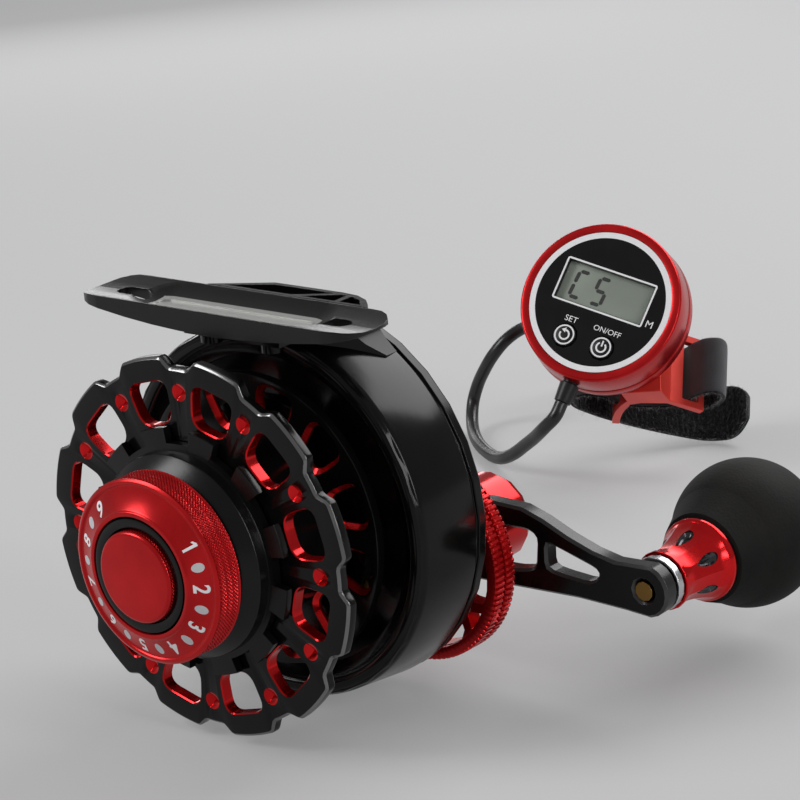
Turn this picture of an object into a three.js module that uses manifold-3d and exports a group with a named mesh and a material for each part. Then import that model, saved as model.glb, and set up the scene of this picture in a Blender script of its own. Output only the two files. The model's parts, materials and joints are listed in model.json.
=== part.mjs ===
// Line counter reel: a geared spool reel with a cranked side handle, and a strap-on counter head on its cord.
// Millimetres. The spool axis runs along Y, from the dial (-Y) to the handle (+Y), and +Z points to the foot.
// The origin is the middle of the flat floor in the foot's trough, where a rod seats.
import * as THREE from 'three';
import { mergeVertices } from 'three/addons/utils/BufferGeometryUtils.js';
import Module from 'manifold-3d';

const wasm = await Module();
wasm.setup();

// Allowances that every piece shares
const clearance = 0.3; // gap between neighbouring pieces
const overrun = 1; // how far a cut runs past the face it opens

// Roundness of the turned pieces
const largeSegments = 32;
const mediumSegments = 18;
const smallSegments = 10;
const tinySegments = 6;

// Foot and its trough
const footLength = 63.4;
const footWidth = 13.6;
const footTipThickness = 1.3;
const footMiddleThickness = 4.1;
const footTipRadius = 6;
const troughRadius = 11;
const troughDepth = 2.2;
const troughLength = 46;
const footEndRadius = 28; // wide shallow hollow over the whole length
const footEndDepth = 0.8;
const channelLength = 36;
const channelWidth = 4.2;
const channelDepth = 0.12;
const footSlotInset = 8.7; // foot's tip to the middle of a slot
const footSlotLength = 7;
const footSlotWidth = 3.8;
const footScrewSpacing = 14;
const footScrewRadius = 1.25;
const footScrewHeadRadius = 2;
const footScrewHeadHeight = 1.4;
const footScrewGrip = 1.1; // thread length held in the foot

// Where the foot stands over the spool axis
const seatRise = 2.2; // frame cup's outside to the flat floor of the trough
const seatPlace = 14.6; // trough centre behind the front flange

// Spool: front flange, arbor, rear flange
const holeCount = 12; // windows round each flange
const flangeRadius = 34;
const flangeDipDepth = 1.8;
const flangeThickness = 2.4;
const flangeChamfer = 0.45;
const flangeWindowInner = 22.3;
const flangeWindowOuter = 29.7;
const flangeWindowWidth = 9.5;
const flangeWindowTaper = 1.1; // each side draws in towards the axis
const flangeWindowCorner = 2.6;
const dimpleRadius = 1.5;
const dimpleDepth = 0.9;
const dimpleCircle = 28;
const arborRadius = 16.5;
const arborWall = 2.9;
const arborLength = 13.3;
const arborWeb = 4;
const spigotStep = 1.1;
const hubRadius = 6.5;
const rearSpigotRadius = 9;
const rearFlangeRadius = 26.6;
const rearFlangeThickness = 1.8;
const rearWindowInner = 17.2;
const rearWindowOuter = 24.8;
const rearWindowWidth = 7.6;
const rearWindowTaper = 1.6;

// Stepped cover in front of the spool
const drumRadius = 20.9;
const drumStep = 1.5;
const castleRadius = 22.1;
const castleFacetShare = 0.5; // part of each pitch that a castle facet takes
const coverRadius = 18.2;
const coverStep = 2.2;
const coverFaceRadius = 15.5;
const coverConeLength = 2.3;
const coverWall = 1.3;

// Dial knob, black ring and centre cap
const dialRadius = 16.4;
const dialKnurlLength = 5.2;
const dialFaceRadius = 15.6;
const dialInnerRadius = 11;
const dialConeHeight = 2.2;
const dialRimHeight = 0.35;
const dialWeb = 2.2;
const ringRadius = 10.1;
const ringWidth = 1.7;
const capRadius = 8.1;
const capHeight = 1.1; // cap above the ring
const capEdge = 0.5;

// Axle through the spool
const axleRadius = 2.5;
const axleTipDepth = 2.7; // axle end below the cap's face
const axleCollarRadius = 3.9;
const bearingRadius = 4;
const bearingLength = 2.5;
const axleNutRadius = 4.4;
const axleNutLength = 1.8;

// Frame cup with its stem, and the back plate
const cupRunningGap = 0.9; // rear flange to cup rim
const cupRimRadius = 34;
const cupRadius = 35.3;
const cupDepth = 13.4;
const cupWall = 2.4;
const cupMouthRadius = 30.2;
const cupFloorRadius = 28.6;
const cupRimRound = 1.2;
const recessDepth = 3.5;
const cupFloorThickness = 2.5;
const innerRingInner = 17;
const innerRingOuter = 21;
const innerRingHeight = 2.3;
const backPlateThickness = 2.8;
const backPlateGroove = 0.5;
const plateScrewCount = 3;
const plateScrewCircle = 29.6;
const plateScrewStartAngle = 50;
const plateScrewRadius = 1.2;
const plateScrewHeadRadius = 2.3;
const plateScrewHeadHeight = 1.1;
const plateScrewLength = 6;
const plateBossRadius = 2.7;
const hubBossRadius = 8.6;
const hubBossHeight = 1.7;
const stemReach = 24; // deck's reach to +X
const stemRear = 5.4; // deck's reach behind the foot
const stemDeck = 3.6;
const stemTongue = 8; // reach under the foot
const stemTongueHalf = 11;
const stemTongueDrop = 2.2;
const stemLeg = 14; // leg runs down into the cup by this much
const stemPocketDepth = 2.6;

// Gears
const gearModule = 0.7;
const pinionTeeth = 18;
const gearTeeth = 36;
const gearPressureAngle = 20;
const gearAddendumShare = 0.9;
const gearDedendumShare = 1.2;
const gearToothShare = 0.84; // tooth width over half a pitch, the rest is backlash
const shaftAngle = -39; // handle shaft seen from the spool axis
const pinionTubeRadius = 4.7;
const pinionToothLength = 4.7;
const pinionHold = 3.7; // tube held inside the arbor's hub
const rearBearingRadius = 8;
const mainGearLength = 4;
const dragWasherRadius = 9;
const dragWasherThickness = 0.8;

// Handle shaft, one-way bearing and spacer
const shaftRadius = 3;
const shaftTipRadius = 2.6;
const shaftTipLength = 3;
const bushWall = 1.2;
const onewayRadius = 6;
const onewayLength = 5.2;
const spacerRadius = 5.5;

// Star wheel
const starRadius = 19.5;
const starToothDepth = 0.75;
const starToothCount = 72;
const starRimWidth = 2.2; // one toothed ring
const starGrooveWidth = 1;
const starGrooveDepth = 1.1;
const starInnerRadius = 17.3;
const starPlateThickness = 3;
const starHubRadius = 9;
const starBossRadius = 5.8;
const starSpokeCount = 6;
const starSpokeHalf = 1.3;
const starForkRadius = 12.4;
const starForkWindowInner = 14;
const starSpokeAngle = 22; // one spoke's place at rest
const starGap = 2.6; // back plate to star wheel

// Handle arm, cap nut and crank pin
const armLength = 42;
const armAngle = -4.2;
const armGap = 6.5; // star wheel to arm
const armThickness = 3.4;
const armHubRadius = 7.8;
const armTipRadius = 4.9;
const armChamfer = 0.5;
const armWindowCorner = 1.2;
const nutRadius = 8.5;
const nutLength = 11.3;
const nutFacetCount = 14;
const nutCrownRadius = 7.3;
const nutCrownLength = 3;
const nutBore = 6.3; // depth of the threaded hole
const pinRadius = 1.8;
const pinHeadRadius = 3.1;
const pinHeadLength = 2.5;

// Grip: washer, ring, bell neck, bush and ball
const washerRadius = 5;
const washerThickness = 1.5;
const ringCollarRadius = 5.4;
const ringCollarThickness = 0.9;
const neckFrontRadius = 4.9;
const neckRearRadius = 7.2;
const neckLength = 10.8;
const neckLipRadius = 7.7;
const neckLipLength = 1.2;
const neckFacetCount = 18;
const neckDropCount = 6;
const neckDropRadius = 1.25;
const neckDropLength = 4.2;
const neckDropDepth = 0.8;
const dropPlaceShare = 0.46; // a drop's near end along the neck
const ballRadius = 13.5;
const ballFrontLength = 14.3; // middle of the ball to the flat seat of the neck
const ballSeatRadius = 8.2;
const ballShoulderShare = 0.8; // ball radius where its round front begins
const bushRadius = 3.3;
const bushLength = 15;
const ballBoreDepth = 21;

// Counter head, in its own frame: X right, Y into the housing, Z up the face
const counterPlace = [-16.85, 140.89, 3.42];
const counterTilt = [-34.04, 18.3, 21.46]; // turns about X, Y and Z in degrees
const counterFrontRadius = 17.1;
const counterRearRadius = 17.6;
const counterDepth = 8.7;
const counterWall = 1.6;
const counterRimRound = 0.5;
const faceInset = 0.15;
const faceThickness = 1.2;
const faceLedge = 1.3;
const lidThickness = 1.3;
const lcdWidth = 19.7;
const lcdHeight = 8.5;
const lcdPlace = 2.43;
const lcdBorder = 1.4;
const lcdDepth = 2.3;
const lcdPaneThickness = 0.8;
const buttonSpread = 4.25;
const buttonPlace = -9.05;
const buttonRadius = 2.4;
const buttonRise = 0.35;
const buttonCollarWidth = 0.6;
const buttonCollarThickness = 0.5;
const buttonTravel = 0.45;
const switchSize = 3.2;
const switchHeight = 1.1;
const boardThickness = 1;
const boardRadius = 14.8;
const batteryRadius = 10;
const batteryThickness = 2.5;
const glandPlace = -0.5;
const glandDepth = 4.4;
const glandNeckRadius = 1.6;
const glandRootRadius = 2.1;
const glandTipRadius = 1.75;
const glandLength = 4.2;

// Saddle bracket and strap, in a frame turned behind the counter head
const saddlePlace = [15.7, 13.8, -12.2];
const saddleTilt = [-22.4, -10.5, 42.2];
const saddleWidth = 16.3;
const saddleThickness = 1.6;
const saddleWing = 10.9;
const saddleSlope = [-4.5, 6.2];
const saddleLeg = [-0.9, 17.2];
const saddleLegBulge = 1.6;
const saddleBoss = [[3.6, 0.9], [-3.8, 6.4], [-8.6, 2.6], [-3.2, -3.9]];
const wingSlotEdge = 5.5;
const wingSlotWidth = 3.9;
const legSlotStart = 9.2;
const legSlotWidth = 4.4;
const strapWidth = 12.6;
const strapThickness = 1.3;
const strapRounding = 6;
const strapSteps = 48;
const strapRoute = [
  [12.4, 3.4], [13.6, -0.8], [12.6, -4.6], [10.2, -6.1], [8.1, -4.4], [7.4, -1.2], [7.3, 2.2], [5.6, 6.4],
  [1.4, 9.6], [-2.8, 11.3], [-7.2, 10.6], [-11, 12], [-12.2, 15.3], [-10, 18.2], [-4.6, 19.3], [3, 19.3],
  [10.2, 18.5], [17, 17.2], [22.4, 15.4], [26, 11.4], [27, 7.2],
];

// Cord from the gland to the sensor head
const cordRadius = 1.4;
const cordSides = 8;
const cordSteps = 46;
const cordRoute = [
  [-20.84, 130.76, -16.22], [-21.3, 129.1, -18.5], [-24.2, 128.9, -21.4], [-28.4, 130.5, -24.8],
  [-32.3, 131.8, -27.6], [-36, 132.9, -30.2], [-39.9, 134.2, -32.2], [-44, 136.4, -33.4],
  [-48.6, 139.2, -33.8], [-53.6, 142.8, -33.8], [-58.8, 147.6, -33.4], [-62.6, 152, -32],
  [-64.2, 154.8, -29.2], [-63.2, 155.6, -25.4], [-60.6, 155.2, -21.4], [-57.8, 155.2, -17.6],
  [-55.4, 156.8, -14.4], [-53.7, 160.4, -12.6], [-52.8, 166, -12.8], [-53, 172.8, -15.2],
  [-54.2, 180, -19.8], [-55.8, 187, -25.4], [-58, 194, -30.4], [-60.6, 201.4, -33.4],
  [-63.4, 208.4, -33.8],
];
const sensorLength = 14;
const sensorWidth = 8;
const sensorHeight = 5;
const sensorEdge = 0.8;

// Positions along the spool axis, from the front flange backwards
const arborFront = flangeThickness + clearance;
const arborRear = arborFront + arborLength;
const rearFlangeFront = arborRear + clearance;
const rearFlangeRear = rearFlangeFront + rearFlangeThickness;
const cupRim = rearFlangeRear + cupRunningGap;
const cupFloorFront = cupRim + recessDepth;
const cupFloorRear = cupFloorFront + cupFloorThickness;
const cupRear = cupRim + cupDepth;
const plateFront = cupRear + clearance;
const plateRear = plateFront + backPlateThickness;
const bossRear = plateRear + hubBossHeight;
const starFront = plateRear + starGap;
const starWidth = 2 * starRimWidth + starGrooveWidth;
const starRear = starFront + starWidth;
const armFront = starRear + armGap;
const armRear = armFront + armThickness;
const drumRear = -clearance;
const drumFront = drumRear - drumStep;
const coverShoulder = drumFront - coverStep;
const coverFront = coverShoulder - coverConeLength;
const dialRear = coverFront - clearance;
const dialKnurlFront = dialRear - dialKnurlLength;
const dialFront = dialKnurlFront - dialConeHeight;
const dialWebFront = dialRear - dialWeb;
const capFront = dialFront - capHeight;
const axleFront = capFront + axleTipDepth;

// Height of the trough's flat floor over the spool axis
const seatHeight = cupRadius + seatRise;

// Places worked out from the gears
const centreDistance = (gearModule * (pinionTeeth + gearTeeth)) / 2;
const shaftX = centreDistance * Math.cos(THREE.MathUtils.degToRad(shaftAngle));
const shaftZ = centreDistance * Math.sin(THREE.MathUtils.degToRad(shaftAngle));
const plateScrewAngles = Array.from(
  { length: plateScrewCount },
  (_, i) => THREE.MathUtils.degToRad(plateScrewStartAngle) + (i * Math.PI) / 2,
);
const footTop = troughDepth + channelDepth; // foot's edges above its seat
const stemTop = seatHeight + footTop;
const tongueFront = seatPlace + footWidth / 2 + clearance - stemTongue;
const footScrewPlace = tongueFront + footScrewHeadRadius + 2 * clearance;
const deckFront = seatPlace + footWidth / 2 + clearance;
const deckRear = deckFront + stemRear;
const footUnder = stemTop - footMiddleThickness - clearance; // top of the tongue below the foot

// Materials
const blackGloss = () => new THREE.MeshStandardMaterial({ color: 0x0c0c0d, roughness: 0.22, metalness: 0.6 });
const blackSatin = () => new THREE.MeshStandardMaterial({ color: 0x141415, roughness: 0.4, metalness: 0.5 });
const redAnodised = () => new THREE.MeshStandardMaterial({ color: 0xb01012, roughness: 0.3, metalness: 0.8 });
const steel = () => new THREE.MeshStandardMaterial({ color: 0xb9bcc0, roughness: 0.3, metalness: 1 });
const brass = () => new THREE.MeshStandardMaterial({ color: 0x9a7434, roughness: 0.35, metalness: 1 });
const carbon = () => new THREE.MeshStandardMaterial({ color: 0x2a2a2c, roughness: 0.7, metalness: 0 });
const foam = () => new THREE.MeshStandardMaterial({ color: 0x0d0e0f, roughness: 0.92, metalness: 0 });
const webbing = () => new THREE.MeshStandardMaterial({ color: 0x19191b, roughness: 0.95, metalness: 0 });
const rubber = () => new THREE.MeshStandardMaterial({ color: 0x101011, roughness: 0.6, metalness: 0 });
const display = () => new THREE.MeshStandardMaterial({ color: 0x9aa094, roughness: 0.3, metalness: 0 });
const clearPane = () => new THREE.MeshStandardMaterial({ color: 0xc9cec6, roughness: 0.08, metalness: 0 });
const board = () => new THREE.MeshStandardMaterial({ color: 0x1d5a34, roughness: 0.6, metalness: 0 });

// Names a geometry and gives it its material
function piece(name, geometry, material) {
  const mesh = new THREE.Mesh(geometry, material);
  mesh.name = name;
  return mesh;
}

// Signed volume of an indexed geometry, negative when its faces point inwards
function signedVolume(geometry) {
  const position = geometry.attributes.position;
  const index = geometry.index;
  const a = new THREE.Vector3();
  const b = new THREE.Vector3();
  const c = new THREE.Vector3();
  let volume = 0;
  for (let i = 0; i < index.count; i += 3) {
    a.fromBufferAttribute(position, index.getX(i));
    b.fromBufferAttribute(position, index.getX(i + 1));
    c.fromBufferAttribute(position, index.getX(i + 2));
    volume += a.dot(b.cross(c)) / 6;
  }
  return volume;
}

// Merges shared vertices, drops empty triangles and turns the faces outwards
function closed(geometry) {
  const bare = geometry.clone();
  bare.deleteAttribute('normal');
  bare.deleteAttribute('uv');
  const merged = mergeVertices(bare, 1e-4);
  const flip = signedVolume(merged) < 0;
  const corners = [];
  for (let i = 0; i < merged.index.count; i += 3) {
    const a = merged.index.getX(i);
    const b = merged.index.getX(i + 1);
    const c = merged.index.getX(i + 2);
    if (a === b || b === c || c === a) continue;
    corners.push(a, ...(flip ? [c, b] : [b, c]));
  }
  merged.setIndex(corners);
  return merged;
}

// Solid for cutting and joining
function toSolid(geometry) {
  const mesh = closed(geometry);
  return new wasm.Manifold(
    new wasm.Mesh({
      numProp: 3,
      vertProperties: new Float32Array(mesh.attributes.position.array),
      triVerts: new Uint32Array(mesh.index.array),
    }),
  );
}

// Geometry of a cut or joined solid
function toGeometry(solid) {
  const mesh = solid.getMesh();
  const geometry = new THREE.BufferGeometry();
  geometry.setAttribute('position', new THREE.BufferAttribute(new Float32Array(mesh.vertProperties), 3));
  geometry.setIndex(Array.from(mesh.triVerts));
  geometry.computeVertexNormals();
  return geometry;
}

// Takes tools away from a body
function cut(body, ...tools) {
  return toGeometry(tools.reduce((solid, tool) => solid.subtract(toSolid(tool)), toSolid(body)));
}

// Joins bodies into one
function join(body, ...others) {
  return toGeometry(others.reduce((solid, other) => solid.add(toSolid(other)), toSolid(body)));
}

// Keeps what two bodies share
function common(body, other) {
  return toGeometry(toSolid(body).intersect(toSolid(other)));
}

// Turned piece about Y from a closed loop of [radius, y] points
function turned(profile, segments) {
  const loop = [...profile, profile[0]].map(([radius, y]) => new THREE.Vector2(radius, y));
  return closed(new THREE.LatheGeometry(loop, segments));
}

// Plain rod along Y
function rod(radius, front, rear, segments) {
  return turned([[0, front], [radius, front], [radius, rear], [0, rear]], segments);
}

// Tube along Y
function tube(inner, outer, front, rear, segments) {
  return turned([[inner, front], [outer, front], [outer, rear], [inner, rear]], segments);
}

// Points of a circle in a plane outline
function circle(radius, count, centreX = 0, centreY = 0) {
  return Array.from({ length: count }, (_, i) => {
    const angle = (i * 2 * Math.PI) / count;
    return new THREE.Vector2(centreX + radius * Math.cos(angle), centreY + radius * Math.sin(angle));
  });
}

// Polygon whose corners are rounded by short curves
function rounded(corners, radius, steps = 2) {
  const points = [];
  corners.forEach((corner, i) => {
    const before = corners[(i + corners.length - 1) % corners.length];
    const after = corners[(i + 1) % corners.length];
    const reachBefore = Math.min(radius, corner.distanceTo(before) / 2.05);
    const reachAfter = Math.min(radius, corner.distanceTo(after) / 2.05);
    const start = corner.clone().add(before.clone().sub(corner).setLength(reachBefore));
    const end = corner.clone().add(after.clone().sub(corner).setLength(reachAfter));
    points.push(...new THREE.QuadraticBezierCurve(start, corner, end).getPoints(steps));
  });
  return points;
}

// Turns and moves plane points
function placed(points, angle, shiftX = 0, shiftY = 0) {
  const centre = new THREE.Vector2();
  return points.map((p) => p.clone().rotateAround(centre, angle).add(new THREE.Vector2(shiftX, shiftY)));
}

// Extruded outline with its faces chamfered on both sides
function extruded(outline, holes, thickness, chamfer) {
  const outer = THREE.ShapeUtils.isClockWise(outline) ? [...outline].reverse() : outline;
  const shape = new THREE.Shape(outer);
  shape.holes = holes.map((hole) => new THREE.Path(hole));
  const geometry = new THREE.ExtrudeGeometry(shape, {
    depth: thickness - 2 * chamfer,
    steps: 1,
    bevelEnabled: chamfer > 0,
    bevelThickness: chamfer,
    bevelSize: chamfer,
    bevelOffset: -chamfer,
    bevelSegments: 1,
  });
  geometry.translate(0, 0, chamfer);
  return geometry;
}

// Plate whose outline lies in X and Z, from front to rear along Y
function plate(outline, holes, front, rear, chamfer = 0) {
  const geometry = extruded(outline, holes, rear - front, chamfer);
  geometry.rotateX(Math.PI / 2);
  geometry.translate(0, rear, 0);
  return closed(geometry);
}

// Slab whose outline lies in X and Y, from bottom to top along Z
function slab(outline, bottom, top, chamfer = 0) {
  const geometry = extruded(outline, [], top - bottom, chamfer);
  geometry.translate(0, 0, bottom);
  return closed(geometry);
}

// Window with rounded corners, drawn in towards the axis
function windowOutline(inner, outer, width, taper, corner, angle, steps) {
  const corners = [
    new THREE.Vector2(inner, taper - width / 2),
    new THREE.Vector2(outer, -width / 2),
    new THREE.Vector2(outer, width / 2),
    new THREE.Vector2(inner, width / 2 - taper),
  ];
  return placed(rounded(corners, corner, steps), angle);
}

// Angles of the flange windows, half a pitch off the X axis
const windowAngles = Array.from({ length: holeCount }, (_, i) => ((i + 0.5) * 2 * Math.PI) / holeCount);

// Front flange: humps over the windows, dips and countersinks between them
function frontFlange() {
  const pointsPerHump = 6;
  const dipShare = 1.6; // how narrow a dip is against a plain wave
  const outline = Array.from({ length: holeCount * pointsPerHump }, (_, i) => {
    const angle = (i * 2 * Math.PI) / (holeCount * pointsPerHump);
    const dip = flangeDipDepth * ((1 + Math.cos(holeCount * angle)) / 2) ** dipShare;
    const radius = flangeRadius - dip;
    return new THREE.Vector2(radius * Math.cos(angle), radius * Math.sin(angle));
  });
  const windows = windowAngles.map((angle) =>
    windowOutline(
      flangeWindowInner,
      flangeWindowOuter,
      flangeWindowWidth,
      flangeWindowTaper,
      flangeWindowCorner,
      angle,
      2,
    ),
  );
  const bore = circle(arborRadius - spigotStep + clearance, largeSegments);
  const blank = plate(outline, [bore, ...windows], 0, flangeThickness + flangeChamfer, flangeChamfer);
  const body = common(blank, rod(2 * flangeRadius, -overrun, flangeThickness, tinySegments));
  const sinks = Array.from({ length: holeCount }, (_, i) => {
    const angle = (i * 2 * Math.PI) / holeCount;
    const sink = turned(
      [[0, dimpleDepth], [dimpleRadius, 0], [dimpleRadius, -overrun], [0, -overrun]],
      tinySegments,
    );
    sink.translate(dimpleCircle * Math.cos(angle), 0, dimpleCircle * Math.sin(angle));
    return sink;
  });
  return cut(body, ...sinks);
}

// Arbor: winding barrel, web, hub with its bearing seat, spigots at both ends
function arbor() {
  const inside = arborRadius - arborWall;
  const webFront = arborRear - arborWeb;
  const hubFront = flangeThickness / 2;
  const tubeBore = pinionTubeRadius + clearance;
  const bearingSeat = bearingRadius + clearance;
  const seatEnd = hubFront + bearingLength + clearance;
  return turned(
    [
      [tubeBore, rearFlangeRear],
      [rearSpigotRadius, rearFlangeRear],
      [rearSpigotRadius, arborRear],
      [arborRadius, arborRear],
      [arborRadius, arborFront],
      [arborRadius - spigotStep, arborFront],
      [arborRadius - spigotStep, 0],
      [inside, 0],
      [inside, webFront],
      [hubRadius, webFront],
      [hubRadius, hubFront],
      [bearingSeat, hubFront],
      [bearingSeat, seatEnd],
      [axleRadius + clearance, seatEnd],
      [axleRadius + clearance, arborRear - pinionHold - clearance],
      [tubeBore, arborRear - pinionHold - clearance],
    ],
    largeSegments,
  );
}

// Rear flange with its ring of windows
function rearFlange() {
  const windows = windowAngles.map((angle) =>
    windowOutline(
      rearWindowInner,
      rearWindowOuter,
      rearWindowWidth,
      rearWindowTaper,
      flangeWindowCorner,
      angle,
      1,
    ),
  );
  const bore = circle(rearSpigotRadius + clearance, mediumSegments);
  const outline = circle(rearFlangeRadius, largeSegments);
  return plate(outline, [bore, ...windows], rearFlangeFront, rearFlangeRear);
}

// Castle ring's outline, one facet in front of each flange window
function castleOutline() {
  const facetHalf = (Math.PI / holeCount) * castleFacetShare;
  const valley = drumRadius - drumStep;
  const facetShares = [[valley, -1], [castleRadius, -1], [castleRadius, 1], [valley, 1]];
  return windowAngles.flatMap((angle) =>
    facetShares.map(([radius, share]) => {
      const turn = angle + share * facetHalf;
      return new THREE.Vector2(radius * Math.cos(turn), radius * Math.sin(turn));
    }),
  );
}

// Stepped cover over the front of the spool, with the castle ring round its rear step
function drumCover() {
  const inside = coverRadius - coverWall;
  const faceInside = coverFront + coverWall;
  const bore = axleRadius + clearance;
  const body = turned(
    [
      [bore, coverFront],
      [coverFaceRadius, coverFront],
      [coverRadius, coverShoulder],
      [coverRadius, drumFront],
      [drumRadius, drumFront],
      [drumRadius, drumRear],
      [inside, drumRear],
      [inside, coverShoulder + coverWall],
      [coverFaceRadius - coverWall, faceInside],
      [bore, faceInside],
    ],
    largeSegments,
  );
  const opening = circle((inside + coverRadius) / 2, largeSegments);
  return join(body, plate(castleOutline(), [opening], drumFront, drumRear));
}

// Dial knob: knurled side, dished number face between two rims, pocket for the ring and cap
function dialKnob() {
  const pocket = ringRadius + clearance;
  const bore = axleRadius + clearance;
  const dish = dialRimHeight;
  return turned(
    [
      [bore, dialRear],
      [dialRadius, dialRear],
      [dialRadius, dialKnurlFront],
      [dialFaceRadius, dialKnurlFront - dish],
      [dialFaceRadius - dish, dialKnurlFront],
      [dialInnerRadius + dish, dialFront + dish],
      [dialInnerRadius, dialFront],
      [pocket, dialFront],
      [pocket, dialWebFront],
      [bore, dialWebFront],
    ],
    largeSegments,
  );
}

// Black ring round the centre cap
function dialRing() {
  return tube(ringRadius - ringWidth, ringRadius, dialFront, dialWebFront - clearance, mediumSegments);
}

// Centre cap, screwed on the axle's end
function centreCap() {
  const bore = axleRadius + clearance;
  return turned(
    [
      [0, capFront],
      [capRadius - capEdge, capFront],
      [capRadius, capFront + capEdge],
      [capRadius, dialWebFront - clearance],
      [bore, dialWebFront - clearance],
      [bore, axleFront - clearance],
      [0, axleFront - clearance],
    ],
    mediumSegments,
  );
}

// Axle with the collar that stops the pinion
function spoolAxle() {
  const collarRear = plateFront - clearance;
  const collarFront = cupFloorRear + clearance + pinionToothLength + 2 * overrun;
  return turned(
    [
      [0, axleFront],
      [axleRadius, axleFront],
      [axleRadius, collarFront],
      [axleCollarRadius, collarFront],
      [axleCollarRadius, collarRear],
      [axleRadius, collarRear],
      [axleRadius, plateRear + axleNutLength],
      [0, plateRear + axleNutLength],
    ],
    smallSegments,
  );
}

// Six-sided nut on a shaft along Y
function hexNut(radius, bore, front, rear) {
  return plate(circle(radius, 6), [circle(bore, smallSegments)], front, rear);
}

// Screw along Y, its head at the origin and its thread running towards the given direction
function capScrew(radius, headRadius, headHeight, length, direction) {
  return turned(
    [
      [0, 0],
      [headRadius, 0],
      [headRadius, direction * headHeight],
      [radius, direction * headHeight],
      [radius, direction * length],
      [0, direction * length],
    ],
    smallSegments,
  );
}

// Plan point on the stem's deck: share of its reach along X, and share of its depth behind the foot
function deckPoint([acrossShare, backShare]) {
  return new THREE.Vector2(stemReach * acrossShare, deckFront + stemRear * backShare);
}

// Stem's deck beside the foot: slanted left side, long rear edge, curved right side, three pockets
function stemDeckPlate() {
  const planShares = [[-0.5, 0], [-0.04, 1], [0.6, 1], [0.75, 0.92], [0.88, 0.64], [0.96, 0.3], [1, 0]];
  const firstShares = [[-0.36, 0.14], [0.28, 0.14], [0.56, 0.8], [0, 0.8]];
  const secondShares = [[0.37, 0.14], [0.68, 0.14], [0.68, 0.76], [0.63, 0.76]];
  const thirdShares = [[0.73, 0.14], [0.92, 0.14], [0.84, 0.54], [0.73, 0.74]];
  const pockets = [firstShares, secondShares, thirdShares].map((shares) => {
    return slab(shares.map(deckPoint), stemTop - stemPocketDepth, stemTop + overrun);
  });
  return cut(slab(planShares.map(deckPoint), stemTop - stemDeck, stemTop), ...pockets);
}

// Stem's leg: waisted between the deck and the cup, sloped at the rear, slanted away from the foot at +X
function stemLegBlock() {
  const low = cupRadius - stemLeg;
  const high = stemTop - stemDeck / 2;
  const waistShares = [
    [-0.44, 0], [0.86, 0], [0.86, 0.44], [0.76, 0.58], [0.7, 0.7], [0.68, 0.82], [0.72, 1],
    [-0.4, 1], [-0.36, 0.8], [-0.44, 0.5],
  ];
  const waist = waistShares.map(([across, up]) => {
    return new THREE.Vector2(stemReach * across, low + (high - low) * up);
  });
  const slope = [
    new THREE.Vector2(deckFront, low),
    new THREE.Vector2(cupRear, low),
    new THREE.Vector2(cupRear, cupRadius + clearance),
    new THREE.Vector2(deckRear - stemDeck / 4, high),
    new THREE.Vector2(deckFront, high),
  ];
  const side = extruded(slope, [], 2 * stemReach, 0);
  side.rotateX(Math.PI / 2);
  side.rotateZ(Math.PI / 2);
  side.translate(-stemReach, 0, 0);
  const slantShares = [[-0.46, 0], [0.52, 0], [0.88, 0.8], [0.88, 1.1], [-0.46, 1.1]];
  const slant = slantShares.map(([across, back]) => {
    return new THREE.Vector2(stemReach * across, deckFront + (cupRear - deckFront) * back);
  });
  return common(common(plate(waist, [], deckFront, cupRear), closed(side)), slab(slant, 0, stemTop));
}

// Stem that carries the foot: deck behind it, tongue under it, leg down to the cup
function stem() {
  const tongue = slab(
    boxOutline(-stemTongueHalf, stemTongueHalf, tongueFront, deckFront + overrun),
    footUnder - stemTongueDrop,
    footUnder,
  );
  return join(stemLegBlock(), tongue, stemDeckPlate());
}

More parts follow.
